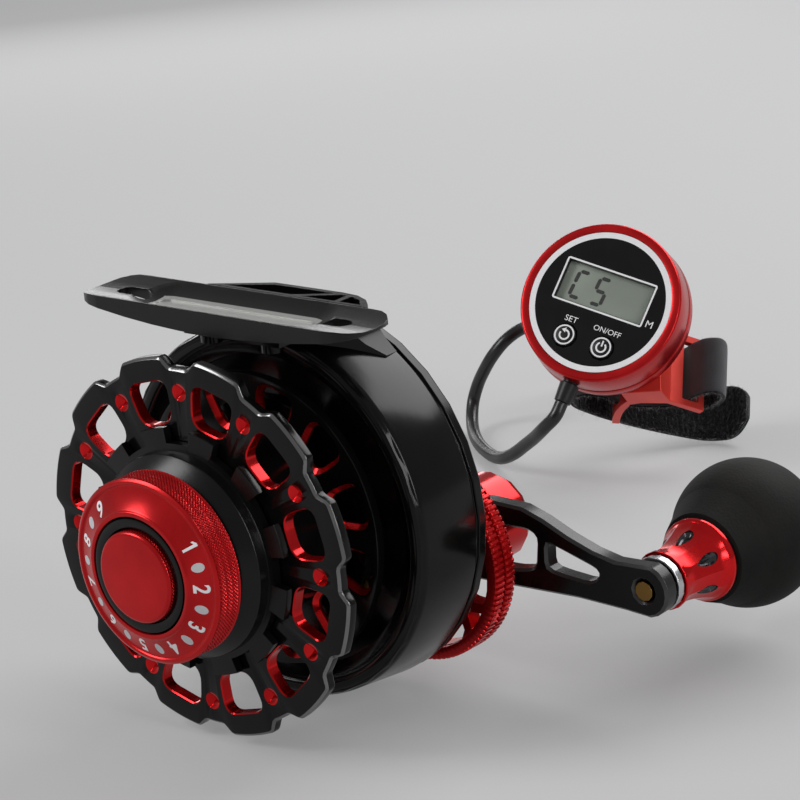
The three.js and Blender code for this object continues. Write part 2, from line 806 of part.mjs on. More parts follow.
// Frame cup: rounded rim, recess with the shiny inner ring, floor, gear chamber, screw bosses and stem
function frameCup() {
  const floorBore = rearBearingRadius + clearance;
  const ringTop = cupFloorFront - innerRingHeight;
  const chamber = cupRadius - cupWall;
  const recessShare = 0.6; // where the mouth's cone meets the recess wall
  const roundShare = 0.3; // middle of the rounded rim
  const body = turned(
    [
      [floorBore, cupFloorFront],
      [innerRingInner, cupFloorFront],
      [innerRingInner, ringTop],
      [innerRingOuter, ringTop],
      [innerRingOuter, cupFloorFront],
      [cupFloorRadius, cupFloorFront],
      [cupFloorRadius, cupRim + recessDepth * recessShare],
      [cupMouthRadius, cupRim + cupRimRound],
      [cupMouthRadius + cupRimRound, cupRim + cupRimRound * roundShare],
      [cupRimRadius - cupRimRound, cupRim],
      [cupRimRadius - cupRimRound * roundShare, cupRim + cupRimRound * roundShare],
      [cupRimRadius, cupRim + cupRimRound],
      [cupRadius, cupRear],
      [chamber, cupRear],
      [chamber, cupFloorRear],
      [floorBore, cupFloorRear],
    ],
    largeSegments,
  );
  const floorMiddle = cupFloorFront + cupFloorThickness / 2;
  const stemSolid = cut(
    stem(),
    rod(chamber + cupWall / 3, floorMiddle, cupRear + overrun, largeSegments),
    rod(cupMouthRadius + cupRimRound, cupRim - stemTongue, floorMiddle, largeSegments),
  );
  const bosses = plateScrewAngles.map((angle) => {
    const boss = rod(plateBossRadius, floorMiddle, cupRear, smallSegments);
    boss.translate(plateScrewCircle * Math.cos(angle), 0, plateScrewCircle * Math.sin(angle));
    return boss;
  });
  const holes = plateScrewAngles.map((angle) => {
    const end = plateRear - plateScrewLength;
    const hole = rod(plateScrewRadius + clearance, end, cupRear + overrun, tinySegments);
    hole.translate(plateScrewCircle * Math.cos(angle), 0, plateScrewCircle * Math.sin(angle));
    return hole;
  });
  const bushHole = rod(
    shaftTipRadius + clearance + bushWall + clearance,
    cupFloorRear - shaftTipLength - clearance,
    cupFloorRear + overrun,
    smallSegments,
  );
  bushHole.translate(shaftX, 0, shaftZ);
  const footHoles = [-1, 1].map((side) => {
    const hole = rod(footScrewRadius + clearance, 0, stemTongue * 2, tinySegments);
    hole.rotateX(Math.PI / 2);
    hole.translate(side * footScrewSpacing / 2, footScrewPlace, seatHeight - stemTongue);
    return hole;
  });
  return cut(join(body, stemSolid, ...bosses), ...holes, bushHole, ...footHoles);
}

// Back plate with the boss round the handle shaft, its screw seats and the joint groove
function backPlate() {
  const body = turned(
    [
      [axleRadius + clearance, plateFront],
      [cupRadius - backPlateGroove, plateFront],
      [cupRadius - backPlateGroove, plateFront + backPlateGroove],
      [cupRadius, plateFront + backPlateGroove],
      [cupRadius, plateRear - backPlateGroove],
      [cupRadius - backPlateGroove, plateRear],
      [axleRadius + clearance, plateRear],
    ],
    largeSegments,
  );
  const boss = rod(hubBossRadius, plateRear - backPlateThickness / 2, bossRear, mediumSegments);
  boss.translate(shaftX, 0, shaftZ);
  const hubHole = rod(onewayRadius + clearance, plateFront - overrun, bossRear + overrun, mediumSegments);
  hubHole.translate(shaftX, 0, shaftZ);
  const seats = plateScrewAngles.flatMap((angle) => {
    const head = rod(
      plateScrewHeadRadius + clearance,
      plateRear - plateScrewHeadHeight - clearance,
      plateRear + overrun,
      smallSegments,
    );
    const hole = rod(plateScrewRadius + clearance, plateFront - overrun, plateRear, tinySegments);
    [head, hole].forEach((tool) => {
      tool.translate(plateScrewCircle * Math.cos(angle), 0, plateScrewCircle * Math.sin(angle));
    });
    return [head, hole];
  });
  return cut(join(body, boss), hubHole, ...seats);
}

// Involute gear outline with one tooth centred on the given angle
function gearOutline(teeth, angle) {
  const pitch = (gearModule * teeth) / 2;
  const pressure = THREE.MathUtils.degToRad(gearPressureAngle);
  const base = pitch * Math.cos(pressure);
  const outer = pitch + gearModule * gearAddendumShare;
  const root = pitch - gearModule * gearDedendumShare;
  const involute = (radius) => {
    const alpha = Math.acos(Math.min(1, base / radius));
    return Math.tan(alpha) - alpha;
  };
  const half = ((Math.PI / teeth) * gearToothShare) / 2;
  const halfAt = (radius) => half + involute(pitch) - involute(Math.max(radius, base));
  const radii = [root, outer];
  const flank = radii.map((radius) => [radius, halfAt(radius)]);
  const tooth = [...flank.map(([r, h]) => [r, -h]), ...flank.reverse().map(([r, h]) => [r, h])];
  return Array.from({ length: teeth }).flatMap((_, i) => {
    const centre = angle + (i * 2 * Math.PI) / teeth;
    return tooth.map(([r, h]) => new THREE.Vector2(r * Math.cos(centre + h), r * Math.sin(centre + h)));
  });
}

// Pinion: toothed end behind the cup floor, tube through it into the arbor
function pinion() {
  const toothFront = cupFloorRear + 2 * clearance + dragWasherThickness;
  const toothRear = toothFront + pinionToothLength;
  const bore = axleRadius + clearance;
  const angle = THREE.MathUtils.degToRad(shaftAngle);
  const teeth = plate(gearOutline(pinionTeeth, angle), [circle(bore, smallSegments)], toothFront, toothRear);
  const sleeve = tube(bore, pinionTubeRadius, arborRear - pinionHold, toothFront + clearance, smallSegments);
  return join(teeth, sleeve);
}

// Main gear on the handle shaft, in mesh with the pinion
function mainGear() {
  const front = cupFloorRear + 2 * clearance + dragWasherThickness;
  const gapAngle = THREE.MathUtils.degToRad(shaftAngle) + Math.PI;
  const outline = gearOutline(gearTeeth, gapAngle + Math.PI / gearTeeth);
  const bore = circle(shaftRadius + clearance, smallSegments);
  return plate(outline, [bore], front + clearance, front + clearance + mainGearLength, 0);
}

// Handle shaft from its bush in the cup floor to the cap nut
function handleShaft() {
  const tip = cupFloorRear - shaftTipLength;
  return turned(
    [
      [0, tip],
      [shaftTipRadius, tip],
      [shaftTipRadius, cupFloorRear],
      [shaftRadius, cupFloorRear],
      [shaftRadius, armRear + nutBore - clearance],
      [0, armRear + nutBore - clearance],
    ],
    smallSegments,
  );
}

// Toothed ring of the star wheel
function toothedRing(front) {
  const outline = Array.from({ length: 2 * starToothCount }, (_, i) => {
    const angle = (i * Math.PI) / starToothCount;
    const radius = starRadius - (i % 2) * starToothDepth;
    return new THREE.Vector2(radius * Math.cos(angle), radius * Math.sin(angle));
  });
  return plate(outline, [circle(starInnerRadius, largeSegments)], front, front + starRimWidth);
}

// Window between two spokes, and the small one in a spoke's fork
function starWindows(index) {
  const pitch = (2 * Math.PI) / starSpokeCount;
  const spoke = THREE.MathUtils.degToRad(starSpokeAngle) + index * pitch;
  const polar = (radius, angle) => new THREE.Vector2(radius * Math.cos(angle), radius * Math.sin(angle));
  const beside = (radius, share) => Math.asin((starSpokeHalf * share) / radius);
  const forkShare = 2.6; // half spread of a fork at the rim, in half spokes
  const armShare = 0.7; // a fork's arm against a spoke
  const forkTurn = Math.asin((forkShare * starSpokeHalf) / starInnerRadius);
  const nearHub = starHubRadius + starSpokeHalf / 4;
  const large = [
    polar(nearHub, spoke + beside(nearHub, 1)),
    polar(starForkRadius, spoke + beside(starForkRadius, 1)),
    polar(starInnerRadius, spoke + forkTurn + beside(starInnerRadius, armShare)),
    polar(starInnerRadius, spoke + pitch / 2),
    polar(starInnerRadius, spoke + pitch - forkTurn - beside(starInnerRadius, armShare)),
    polar(starForkRadius, spoke + pitch - beside(starForkRadius, 1)),
    polar(nearHub, spoke + pitch - beside(nearHub, 1)),
  ];
  const small = [
    polar(starForkWindowInner, spoke),
    polar(starInnerRadius, spoke + forkTurn - beside(starInnerRadius, armShare)),
    polar(starInnerRadius, spoke - forkTurn + beside(starInnerRadius, armShare)),
  ];
  return [rounded(large, starSpokeHalf, 1), rounded(small, starSpokeHalf / 2, 1)];
}

// Star wheel: two toothed rings, a groove between them, forked spokes and a threaded boss
function starWheel() {
  const middle = (starFront + starRear) / 2;
  const windows = Array.from({ length: starSpokeCount }).flatMap((_, i) => starWindows(i));
  const bore = circle(shaftRadius + clearance, smallSegments);
  const disc = plate(
    circle(starRadius - starGrooveDepth, largeSegments),
    [bore, ...windows],
    middle - starPlateThickness / 2,
    middle + starPlateThickness / 2,
  );
  const boss = tube(shaftRadius + clearance, starBossRadius, starFront, starRear, smallSegments);
  return join(toothedRing(starFront), toothedRing(starRear - starRimWidth), disc, boss);
}

// Point on the arm: share of its length, and share of the half width there
function armPoint([alongShare, upShare]) {
  const half = armHubRadius + (armTipRadius - armHubRadius) * alongShare;
  return new THREE.Vector2(armLength * alongShare, half * upShare);
}

// Arc of outline points from one angle to another, in degrees
function arc(radius, from, to, count, centreX = 0) {
  return Array.from({ length: count + 1 }, (_, i) => {
    const angle = THREE.MathUtils.degToRad(from + ((to - from) * i) / count);
    return new THREE.Vector2(centreX + radius * Math.cos(angle), radius * Math.sin(angle));
  });
}

// Handle arm: round hub, swept blade, round tip, two windows, chamfered edges
function handleArm() {
  const tipTurn = 75; // end of the tip's arc, in degrees
  const upperShares = [
    [0.2, 1.22], [0.373, 1.351], [0.483, 1.238], [0.61, 0.997], [0.737, 0.813], [0.85, 0.74],
  ];
  const lowerShares = [[0.906, -0.909], [0.668, -0.86], [0.4, -0.931], [0.2, -0.97]];
  const outline = [
    ...arc(armHubRadius, 260, 100, 9),
    ...upperShares.map(armPoint),
    ...arc(armTipRadius, tipTurn, -tipTurn, 8, armLength),
    ...lowerShares.map(armPoint),
  ];
  const firstShares = [
    [0.228, 0.63], [0.411, 0.788], [0.453, 0.651], [0.445, -0.266], [0.34, -0.434], [0.228, -0.476],
  ];
  const secondShares = [
    [0.504, 0.611], [0.508, -0.162], [0.575, -0.215], [0.73, -0.236], [0.776, 0.018], [0.761, 0.261],
  ];
  const windows = [firstShares, secondShares].map((shares) => rounded(shares.map(armPoint), armWindowCorner));
  const holes = [
    circle(shaftRadius + clearance, smallSegments),
    circle(pinRadius + clearance, smallSegments, armLength, 0),
  ];
  return plate(outline, [...holes, ...windows], armFront, armRear, armChamfer);
}

// Faceted cap nut with a domed crown
function handleNut() {
  const front = armRear + clearance;
  const rear = armRear + nutLength;
  const bore = shaftRadius + clearance;
  return turned(
    [
      [bore, front],
      [nutRadius, front],
      [nutRadius, rear - nutCrownLength],
      [nutCrownRadius, rear - nutCrownLength / 3],
      [nutCrownRadius / 2, rear],
      [0, rear],
      [0, armRear + nutBore],
      [bore, armRear + nutBore],
    ],
    nutFacetCount,
  );
}

// Positions along the crank pin
const washerFront = armRear + clearance;
const ringFront = washerFront + washerThickness + clearance;
const neckFront = ringFront + ringCollarThickness + clearance;
const neckRear = neckFront + neckLength;
const ballFront = neckRear + clearance;
const ballMiddle = ballFront + ballFrontLength;
const bushRear = ballFront + bushLength;

// Crank pin with its retaining head inside the ball
function handlePin() {
  const headFront = bushRear + clearance;
  return turned(
    [
      [0, armFront],
      [pinRadius, armFront],
      [pinRadius, headFront],
      [pinHeadRadius, headFront],
      [pinHeadRadius, headFront + pinHeadLength],
      [0, headFront + pinHeadLength],
    ],
    smallSegments,
  );
}

// Bell neck with a lip and a ring of drop-shaped hollows
function knobNeck() {
  const bore = pinRadius + 2 * clearance;
  const lipFront = neckRear - neckLipLength;
  const grow = neckRearRadius - neckFrontRadius;
  const dropFront = neckFront + neckLength * dropPlaceShare;
  const dropFloor = neckFrontRadius + grow / 2 - neckDropDepth;
  const neckShares = [[0, 0], [0.16, 0.03], [0.3, 0.12], [0.46, 0.26], [0.6, 0.42], [0.74, 0.63]];
  const body = turned(
    [
      [bore, neckFront],
      ...neckShares.map(([share, up]) => [neckFrontRadius + grow * up, neckFront + neckLength * share]),
      [neckRearRadius, lipFront],
      [neckLipRadius, lipFront + neckLipLength / 3],
      [neckLipRadius, neckRear],
      [bore, neckRear],
    ],
    neckFacetCount,
  );
  const drops = Array.from({ length: neckDropCount }, (_, i) => {
    const drop = slab(dropOutline(), 0, neckRearRadius);
    drop.translate(0, dropFront, dropFloor);
    drop.rotateY(((i + 0.5) * 2 * Math.PI) / neckDropCount);
    return drop;
  });
  return cut(body, ...drops);
}

// Drop outline in X and Y, round at the far end and pointed at the near end
function dropOutline() {
  const centre = neckDropLength - neckDropRadius;
  const round = Array.from({ length: 7 }, (_, i) => {
    const angle = -Math.PI / 6 + (i * Math.PI * 4) / 3 / 6;
    return new THREE.Vector2(neckDropRadius * Math.cos(angle), centre + neckDropRadius * Math.sin(angle));
  });
  return [new THREE.Vector2(0, 0), ...round];
}

// Foam ball: flat seat for the neck, round shoulder, round rear, blind bore for the bush and pin
function gripBall() {
  const bore = Math.max(bushRadius, pinHeadRadius) + clearance;
  const boreEnd = ballFront + ballBoreDepth;
  const start = Math.asin(ballShoulderShare);
  const steps = 14;
  const round = Array.from({ length: steps }, (_, i) => {
    const angle = start + ((Math.PI - start) * i) / steps;
    return [ballRadius * Math.sin(angle), ballMiddle - ballRadius * Math.cos(angle)];
  });
  return turned(
    [
      [bore, ballFront],
      [ballSeatRadius, ballFront],
      ...round,
      [0, ballMiddle + ballRadius],
      [0, boreEnd],
      [bore, boreEnd],
    ],
    mediumSegments,
  );
}

// Foot: lens-shaped side, round-ended plan, hollowed trough, flat channel and two end slots
function foot() {
  const top = footTop;
  const swell = footMiddleThickness - footTipThickness;
  const bottomAt = (share) => top - footTipThickness - swell * (1 - share ** 2);
  const side = [new THREE.Vector2(-footLength / 2, top), new THREE.Vector2(footLength / 2, top)];
  for (let i = 10; i >= -10; i -= 1) {
    const share = i / 10;
    side.push(new THREE.Vector2((share * footLength) / 2, bottomAt(share)));
  }
  const half = [footLength / 2, footWidth / 2];
  const plan = [[1, 1], [-1, 1], [-1, -1], [1, -1]].map(([sx, sy]) => {
    return new THREE.Vector2(sx * half[0], sy * half[1]);
  });
  const body = common(
    plate(side, [], -half[1] - overrun, half[1] + overrun),
    slab(rounded(plan, footTipRadius, 5), -footMiddleThickness - overrun, top + overrun),
  );
  const capLength = troughLength / 2 - Math.sqrt(2 * troughRadius * troughDepth - troughDepth ** 2);
  const trough = new THREE.CapsuleGeometry(troughRadius, 2 * capLength, 10, 2 * mediumSegments);
  trough.rotateZ(Math.PI / 2);
  trough.translate(0, 0, top - troughDepth + troughRadius);
  const hollow = rod(footEndRadius, -footLength, footLength, 2 * largeSegments);
  hollow.rotateZ(Math.PI / 2);
  hollow.translate(0, 0, top - footEndDepth + footEndRadius);
  const channel = slab(slotOutline(channelLength, channelWidth), 0, top + overrun);
  const slots = [-1, 1].map((end) => {
    const slot = slab(slotOutline(footSlotLength, footSlotWidth), top - footMiddleThickness, top + overrun);
    slot.translate(end * (footLength / 2 - footSlotInset), 0, 0);
    return slot;
  });
  const holes = [-1, 1].map((end) => {
    const height = top - footMiddleThickness - overrun;
    const blind = rod(footScrewRadius + clearance, 0, overrun + footScrewGrip + clearance, tinySegments);
    blind.rotateX(Math.PI / 2);
    blind.translate((end * footScrewSpacing) / 2, footScrewPlace - seatPlace, height);
    return blind;
  });
  return cut(body, closed(trough), hollow, channel, ...slots, ...holes);
}

// Slot with half-round ends, centred on the origin
function slotOutline(length, width) {
  const radius = width / 2;
  const reach = length / 2 - radius;
  return [...arc(radius, -90, 90, 6, reach), ...arc(radius, 90, 270, 6, -reach)];
}

// Counter housing: turned red case, drilled for the cord gland
function counterHousing() {
  const inside = counterFrontRadius - counterWall;
  const ledgeFront = faceInset + faceThickness + clearance;
  const body = turned(
    [
      [inside, counterRimRound],
      [inside + counterWall / 2, 0],
      [counterFrontRadius, counterRimRound],
      [counterRearRadius, counterDepth],
      [inside, counterDepth],
      [inside, ledgeFront + faceLedge],
      [inside - faceLedge, ledgeFront + faceLedge],
      [inside - faceLedge, ledgeFront],
      [inside, ledgeFront],
    ],
    largeSegments,
  );
  const hole = rod(glandNeckRadius + clearance, 0, counterRearRadius, smallSegments);
  hole.rotateX(-Math.PI / 2);
  hole.translate(glandPlace, glandDepth, -counterFrontRadius / 2);
  return cut(body, hole);
}

// Counter face with the display window and the two button holes
function counterFace() {
  const windowShape = rounded(
    [[1, 1], [-1, 1], [-1, -1], [1, -1]].map(([sx, sz]) => {
      return new THREE.Vector2((sx * lcdWidth) / 2, lcdPlace + (sz * lcdHeight) / 2);
    }),
    clearance,
    1,
  );
  const holes = [-1, 1].map((side) => {
    return circle(buttonRadius + clearance, smallSegments, side * buttonSpread, buttonPlace);
  });
  const outline = circle(counterFrontRadius - counterWall - clearance, largeSegments);
  return plate(outline, [windowShape, ...holes], faceInset, faceInset + faceThickness);
}

// Rear lid of the counter, with the step that centres it in the case
function counterBack() {
  const step = counterFrontRadius - counterWall - clearance;
  const front = counterDepth + clearance;
  return turned(
    [
      [0, front - lidThickness],
      [step, front - lidThickness],
      [step, front],
      [counterRearRadius, front],
      [counterRearRadius - counterRimRound, front + lidThickness],
      [0, front + lidThickness],
    ],
    mediumSegments,
  );
}

// Box given by its size and the middle of its front face
function block(width, depth, height, x, front, z) {
  const geometry = new THREE.BoxGeometry(width, depth, height);
  geometry.translate(x, front + depth / 2, z);
  return closed(geometry);
}

// Positions through the counter, from its face inwards
const behindFace = faceInset + faceThickness + clearance;
const switchFront = behindFace + buttonCollarThickness + buttonTravel + clearance;
const boardFront = switchFront + switchHeight + clearance;
const batteryFront = boardFront + boardThickness + clearance;

// Push button: raised head, collar behind the face
function button(side) {
  const body = turned(
    [
      [0, -buttonRise],
      [buttonRadius, -buttonRise],
      [buttonRadius, behindFace],
      [buttonRadius + buttonCollarWidth + clearance, behindFace],
      [buttonRadius + buttonCollarWidth + clearance, behindFace + buttonCollarThickness],
      [0, behindFace + buttonCollarThickness],
    ],
    smallSegments,
  );
  body.translate(side * buttonSpread, 0, buttonPlace);
  return body;
}

// Switch under a button
function tactSwitch(side) {
  return block(switchSize, switchHeight, switchSize, side * buttonSpread, switchFront, buttonPlace);
}

// Cord gland: neck through the case, tapered sleeve outside
function cordGland() {
  const flare = (counterRearRadius - counterFrontRadius) / counterDepth;
  const start = counterFrontRadius + glandDepth * flare + clearance;
  const body = turned(
    [
      [0, start - counterWall - 2 * clearance],
      [glandNeckRadius, start - counterWall - 2 * clearance],
      [glandNeckRadius, start],
      [glandRootRadius, start],
      [glandTipRadius, start + glandLength],
      [0, start + glandLength],
    ],
    smallSegments,
  );
  body.rotateX(-Math.PI / 2);
  body.translate(glandPlace, glandDepth, 0);
  return body;
}

// Centre line of the saddle's left leg, bowed outwards
function legLine() {
  const [slopeX, slopeY] = saddleSlope;
  const [legX, legY] = saddleLeg;
  const bow = new THREE.Vector2((slopeX + legX) / 2 - saddleLegBulge, (slopeY + legY) / 2);
  return new THREE.QuadraticBezierCurve(
    new THREE.Vector2(slopeX, slopeY),
    bow,
    new THREE.Vector2(legX, legY),
  ).getPoints(8);
}

// Band of even thickness on one side of a line of plane points
function bandOutline(line, thickness) {
  const offset = line.map((point, i) => {
    const before = line[Math.max(0, i - 1)];
    const after = line[Math.min(line.length - 1, i + 1)];
    const along = after.clone().sub(before).normalize();
    return new THREE.Vector2(point.x - along.y * thickness, point.y + along.x * thickness);
  });
  return [...line, ...offset.reverse()];
}

// Saddle bracket: slotted wing, sloping roof, slotted leg and the boss that carries the counter
function saddleBracket() {
  const line = [new THREE.Vector2(saddleWing, 0), new THREE.Vector2(0, 0), ...legLine()];
  const plateBody = slab(bandOutline(line, -saddleThickness), 0, saddleWidth);
  const boss = slab(saddleBoss.map(([x, y]) => new THREE.Vector2(x, y)), 0, saddleWidth - saddleThickness);
  const slotLow = (saddleWidth - strapWidth) / 2 - clearance;
  const slotHigh = saddleWidth - slotLow;
  const wingSlot = slab(
    boxOutline(wingSlotEdge, wingSlotEdge + wingSlotWidth, -2 * saddleThickness, 2 * saddleThickness),
    slotLow,
    slotHigh,
  );
  const legSlot = slab(
    boxOutline(saddleSlope[0] * 3, saddleWing / 2, legSlotStart, legSlotStart + legSlotWidth),
    slotLow,
    slotHigh,
  );
  const trimmed = cut(boss, lidTool());
  return cut(join(plateBody, trimmed), wingSlot, legSlot, lidTool());
}

// Rectangle outline
function boxOutline(left, right, low, high) {
  return [
    new THREE.Vector2(left, low),
    new THREE.Vector2(right, low),
    new THREE.Vector2(right, high),
    new THREE.Vector2(left, high),
  ];
}

// The counter head's space, seen in the saddle's frame, so that the boss ends on the lid
function lidTool() {
  const rear = counterDepth + clearance + lidThickness + clearance;
  const tool = rod(2 * counterRearRadius, -counterDepth, rear, mediumSegments);
  tool.applyMatrix4(turnedFrame(saddlePlace, saddleTilt).invert());
  return tool;
}

// Matrix of a place and a tilt
function turnedFrame(place, tilt) {
  const angles = tilt.map((angle) => THREE.MathUtils.degToRad(angle));
  const matrix = new THREE.Matrix4().makeRotationFromEuler(new THREE.Euler(...angles, 'ZXY'));
  return matrix.setPosition(...place);
}

// Strap: one band from the roll on the wing, through both slots, to the round free end
function strap() {
  const curve = new THREE.SplineCurve(strapRoute.map(([x, y]) => new THREE.Vector2(x, y)));
  const length = curve.getLength();
  const half = strapWidth / 2;
  const endShare = 0.8; // how far the free end's round comes to a point
  const positions = [];
  for (let i = 0; i <= strapSteps; i += 1) {
    const share = i / strapSteps;
    const point = curve.getPointAt(share);
    const along = curve.getTangentAt(share);
    const left = length * (1 - share);
    const into = Math.max(0, strapRounding - left) / strapRounding;
    const reach = half * Math.sqrt(1 - endShare * into ** 2);
    const nx = (-along.y * strapThickness) / 2;
    const ny = (along.x * strapThickness) / 2;
    for (const [side, end] of [[1, 1], [1, -1], [-1, -1], [-1, 1]]) {
      positions.push(point.x + side * nx, point.y + side * ny, saddleWidth / 2 + end * reach);
    }
  }
  const corners = [];
  for (let i = 0; i < strapSteps; i += 1) {
    for (let k = 0; k < 4; k += 1) {
      const a = 4 * i + k;
      const b = 4 * i + ((k + 1) % 4);
      corners.push(a, b, b + 4, a, b + 4, a + 4);
    }
  }
  const last = 4 * strapSteps;
  corners.push(0, 2, 1, 0, 3, 2, last, last + 1, last + 2, last, last + 2, last + 3);
  const geometry = new THREE.BufferGeometry();
  geometry.setAttribute('position', new THREE.Float32BufferAttribute(positions, 3));
  geometry.setIndex(corners);
  return closed(geometry);
}

// Free cord along its route
function counterCord() {
  const route = new THREE.CatmullRomCurve3(cordRoute.map((point) => new THREE.Vector3(...point)));
  const section = new THREE.Shape(circle(cordRadius, cordSides));
  return closed(new THREE.ExtrudeGeometry(section, { steps: cordSteps, extrudePath: route }));
}

// Sensor head at the cord's end, lying on the ground
function sensorHead() {
  const end = new THREE.Vector3(...cordRoute[cordRoute.length - 1]);
  const before = new THREE.Vector3(...cordRoute[cordRoute.length - 2]);
  const along = end.clone().sub(before);
  const outline = rounded(
    boxOutline(-sensorWidth / 2, sensorWidth / 2, 0, sensorLength),
    2 * sensorEdge,
    2,
  );
  const body = slab(outline, 0, sensorHeight, sensorEdge);
  body.translate(0, clearance, -cordRadius);
  body.rotateZ(Math.atan2(along.y, along.x) - Math.PI / 2);
  body.translate(end.x, end.y, end.z);
  return body;
}

// Reel body: everything on the spool axis, in the spool's frame
function reelBody() {
  const group = new THREE.Group();
  const bearingFront = flangeThickness / 2;
  const rearBore = pinionTubeRadius + clearance;
  group.add(
    piece('frame_cup', frameCup(), blackGloss()),
    piece('back_plate', backPlate(), blackGloss()),
    piece('spool_axle', spoolAxle(), steel()),
    piece(
      'axle_nut',
      hexNut(axleNutRadius, axleRadius + clearance, plateRear, plateRear + axleNutLength),
      steel(),
    ),
    piece('spool_flange_front', frontFlange(), blackGloss()),
    piece('spool_arbor', arbor(), blackGloss()),
    piece('spool_flange_rear', rearFlange(), blackGloss()),
    piece('drum_cover', drumCover(), blackSatin()),
    piece('pinion', pinion(), steel()),
    piece('dial_knob', dialKnob(), redAnodised()),
    piece('dial_ring', dialRing(), blackSatin()),
    piece('centre_cap', centreCap(), redAnodised()),
    piece(
      'bearing_front',
      tube(axleRadius + clearance, bearingRadius, bearingFront, bearingFront + bearingLength, smallSegments),
      steel(),
    ),
    piece(
      'bearing_rear',
      tube(rearBore, rearBearingRadius, cupFloorFront + clearance, cupFloorRear, mediumSegments),
      steel(),
    ),
  );
  plateScrewAngles.forEach((angle, i) => {
    const length = plateScrewLength - clearance;
    const screw = capScrew(plateScrewRadius, plateScrewHeadRadius, plateScrewHeadHeight, length, -1);
    const mesh = piece(`plate_screw_${i + 1}`, screw, steel());
    mesh.position.set(plateScrewCircle * Math.cos(angle), plateRear, plateScrewCircle * Math.sin(angle));
    group.add(mesh);
  });
  ['foot_screw_left', 'foot_screw_right'].forEach((name, i) => {
    const under = footUnder - stemTongueDrop;
    const length = footScrewHeadHeight + clearance + stemTongueDrop + clearance + footScrewGrip;
    const screw = capScrew(footScrewRadius, footScrewHeadRadius, footScrewHeadHeight, length, 1);
    const mesh = piece(name, screw, steel());
    mesh.rotation.x = Math.PI / 2;
    mesh.position.set((i - 0.5) * footScrewSpacing, footScrewPlace, under - footScrewHeadHeight - clearance);
    group.add(mesh);
  });
  return group;
}

// Handle side: everything on the handle shaft, in the shaft's frame
function handleSide() {
  const group = new THREE.Group();
  group.position.set(shaftX, 0, shaftZ);
  const gearFront = cupFloorRear + 3 * clearance + dragWasherThickness;
  const gearRear = gearFront + mainGearLength;
  const shaftBore = shaftRadius + clearance;
  const bushBore = shaftTipRadius + clearance;
  const washer = (front) => {
    return tube(shaftBore, dragWasherRadius, front, front + dragWasherThickness, mediumSegments);
  };
  group.add(
    piece('handle_shaft', handleShaft(), steel()),
    piece('main_gear', mainGear(), brass()),
    piece('drag_washer_steel', washer(cupFloorRear + clearance), steel()),
    piece('drag_washer_carbon', washer(gearRear + clearance), carbon()),
    piece(
      'shaft_bush',
      tube(bushBore, bushBore + bushWall, cupFloorRear - shaftTipLength, cupFloorRear, smallSegments),
      brass(),
    ),
    piece(
      'oneway_bearing',
      tube(shaftBore, onewayRadius, bossRear - onewayLength, bossRear, smallSegments),
      steel(),
    ),
    piece('star_wheel', starWheel(), redAnodised()),
    piece(
      'arm_spacer',
      tube(shaftBore, spacerRadius, starRear + clearance, armFront - clearance, smallSegments),
      steel(),
    ),
  );
  const arm = new THREE.Group();
  arm.rotation.y = -THREE.MathUtils.degToRad(armAngle);
  arm.add(piece('handle_arm', handleArm(), blackGloss()), piece('handle_nut', handleNut(), redAnodised()));
  const crank = new THREE.Group();
  crank.position.x = armLength;
  const pinBore = pinRadius + clearance;
  crank.add(
    piece('handle_pin', handlePin(), brass()),
    piece(
      'arm_washer',
      tube(pinBore, washerRadius, washerFront, washerFront + washerThickness, mediumSegments),
      steel(),
    ),
    piece(
      'knob_ring',
      tube(pinBore + clearance, ringCollarRadius, ringFront, ringFront + ringCollarThickness, mediumSegments),
      redAnodised(),
    ),
    piece('knob_neck', knobNeck(), redAnodised()),
    piece('grip_ball', gripBall(), foam()),
    piece('grip_bush', tube(pinBore, bushRadius, ballFront, bushRear, smallSegments), brass()),
  );
  arm.add(crank);
  group.add(arm);
  return group;
}

// Counter head with its bracket and strap
function counterHead() {
  const group = new THREE.Group();
  group.applyMatrix4(turnedFrame(counterPlace, counterTilt));
  const paneInset = faceInset + clearance;
  const boardCut = cut(
    rod(boardRadius, boardFront, boardFront + boardThickness, mediumSegments),
    rod(glandNeckRadius * 2, boardFront - overrun, boardFront + boardThickness + overrun, smallSegments)
      .translate(glandPlace, 0, -boardRadius),
  );
  group.add(
    piece('counter_housing', counterHousing(), redAnodised()),
    piece('counter_face', counterFace(), blackGloss()),
    piece('counter_back', counterBack(), redAnodised()),
    piece(
      'lcd_window',
      block(lcdWidth - 2 * clearance, lcdPaneThickness, lcdHeight - 2 * clearance, 0, paneInset, lcdPlace),
      clearPane(),
    ),
    piece(
      'lcd_module',
      block(lcdWidth + 2 * lcdBorder, lcdDepth, lcdHeight + 2 * lcdBorder, 0, behindFace, lcdPlace),
      display(),
    ),
    piece('button_set', button(-1), blackSatin()),
    piece('button_power', button(1), blackSatin()),
    piece('switch_set', tactSwitch(-1), steel()),
    piece('switch_power', tactSwitch(1), steel()),
    piece('counter_board', boardCut, board()),
    piece(
      'battery_coin',
      rod(batteryRadius, batteryFront, counterDepth - lidThickness, mediumSegments),
      steel(),
    ),
    piece('cord_gland', cordGland(), rubber()),
  );
  const saddle = new THREE.Group();
  saddle.applyMatrix4(turnedFrame(saddlePlace, saddleTilt));
  saddle.add(piece('saddle_bracket', saddleBracket(), redAnodised()), piece('strap', strap(), webbing()));
  group.add(saddle);
  return group;
}

const reel = new THREE.Group();
const spoolFrame = new THREE.Group();
spoolFrame.position.set(0, -seatPlace, -seatHeight);
spoolFrame.add(
  reelBody(),
  handleSide(),
  counterHead(),
  piece('counter_cord', counterCord(), rubber()),
  piece('sensor_head', sensorHead(), blackSatin()),
);
reel.add(piece('foot', foot(), blackGloss()), spoolFrame);
export default reel;
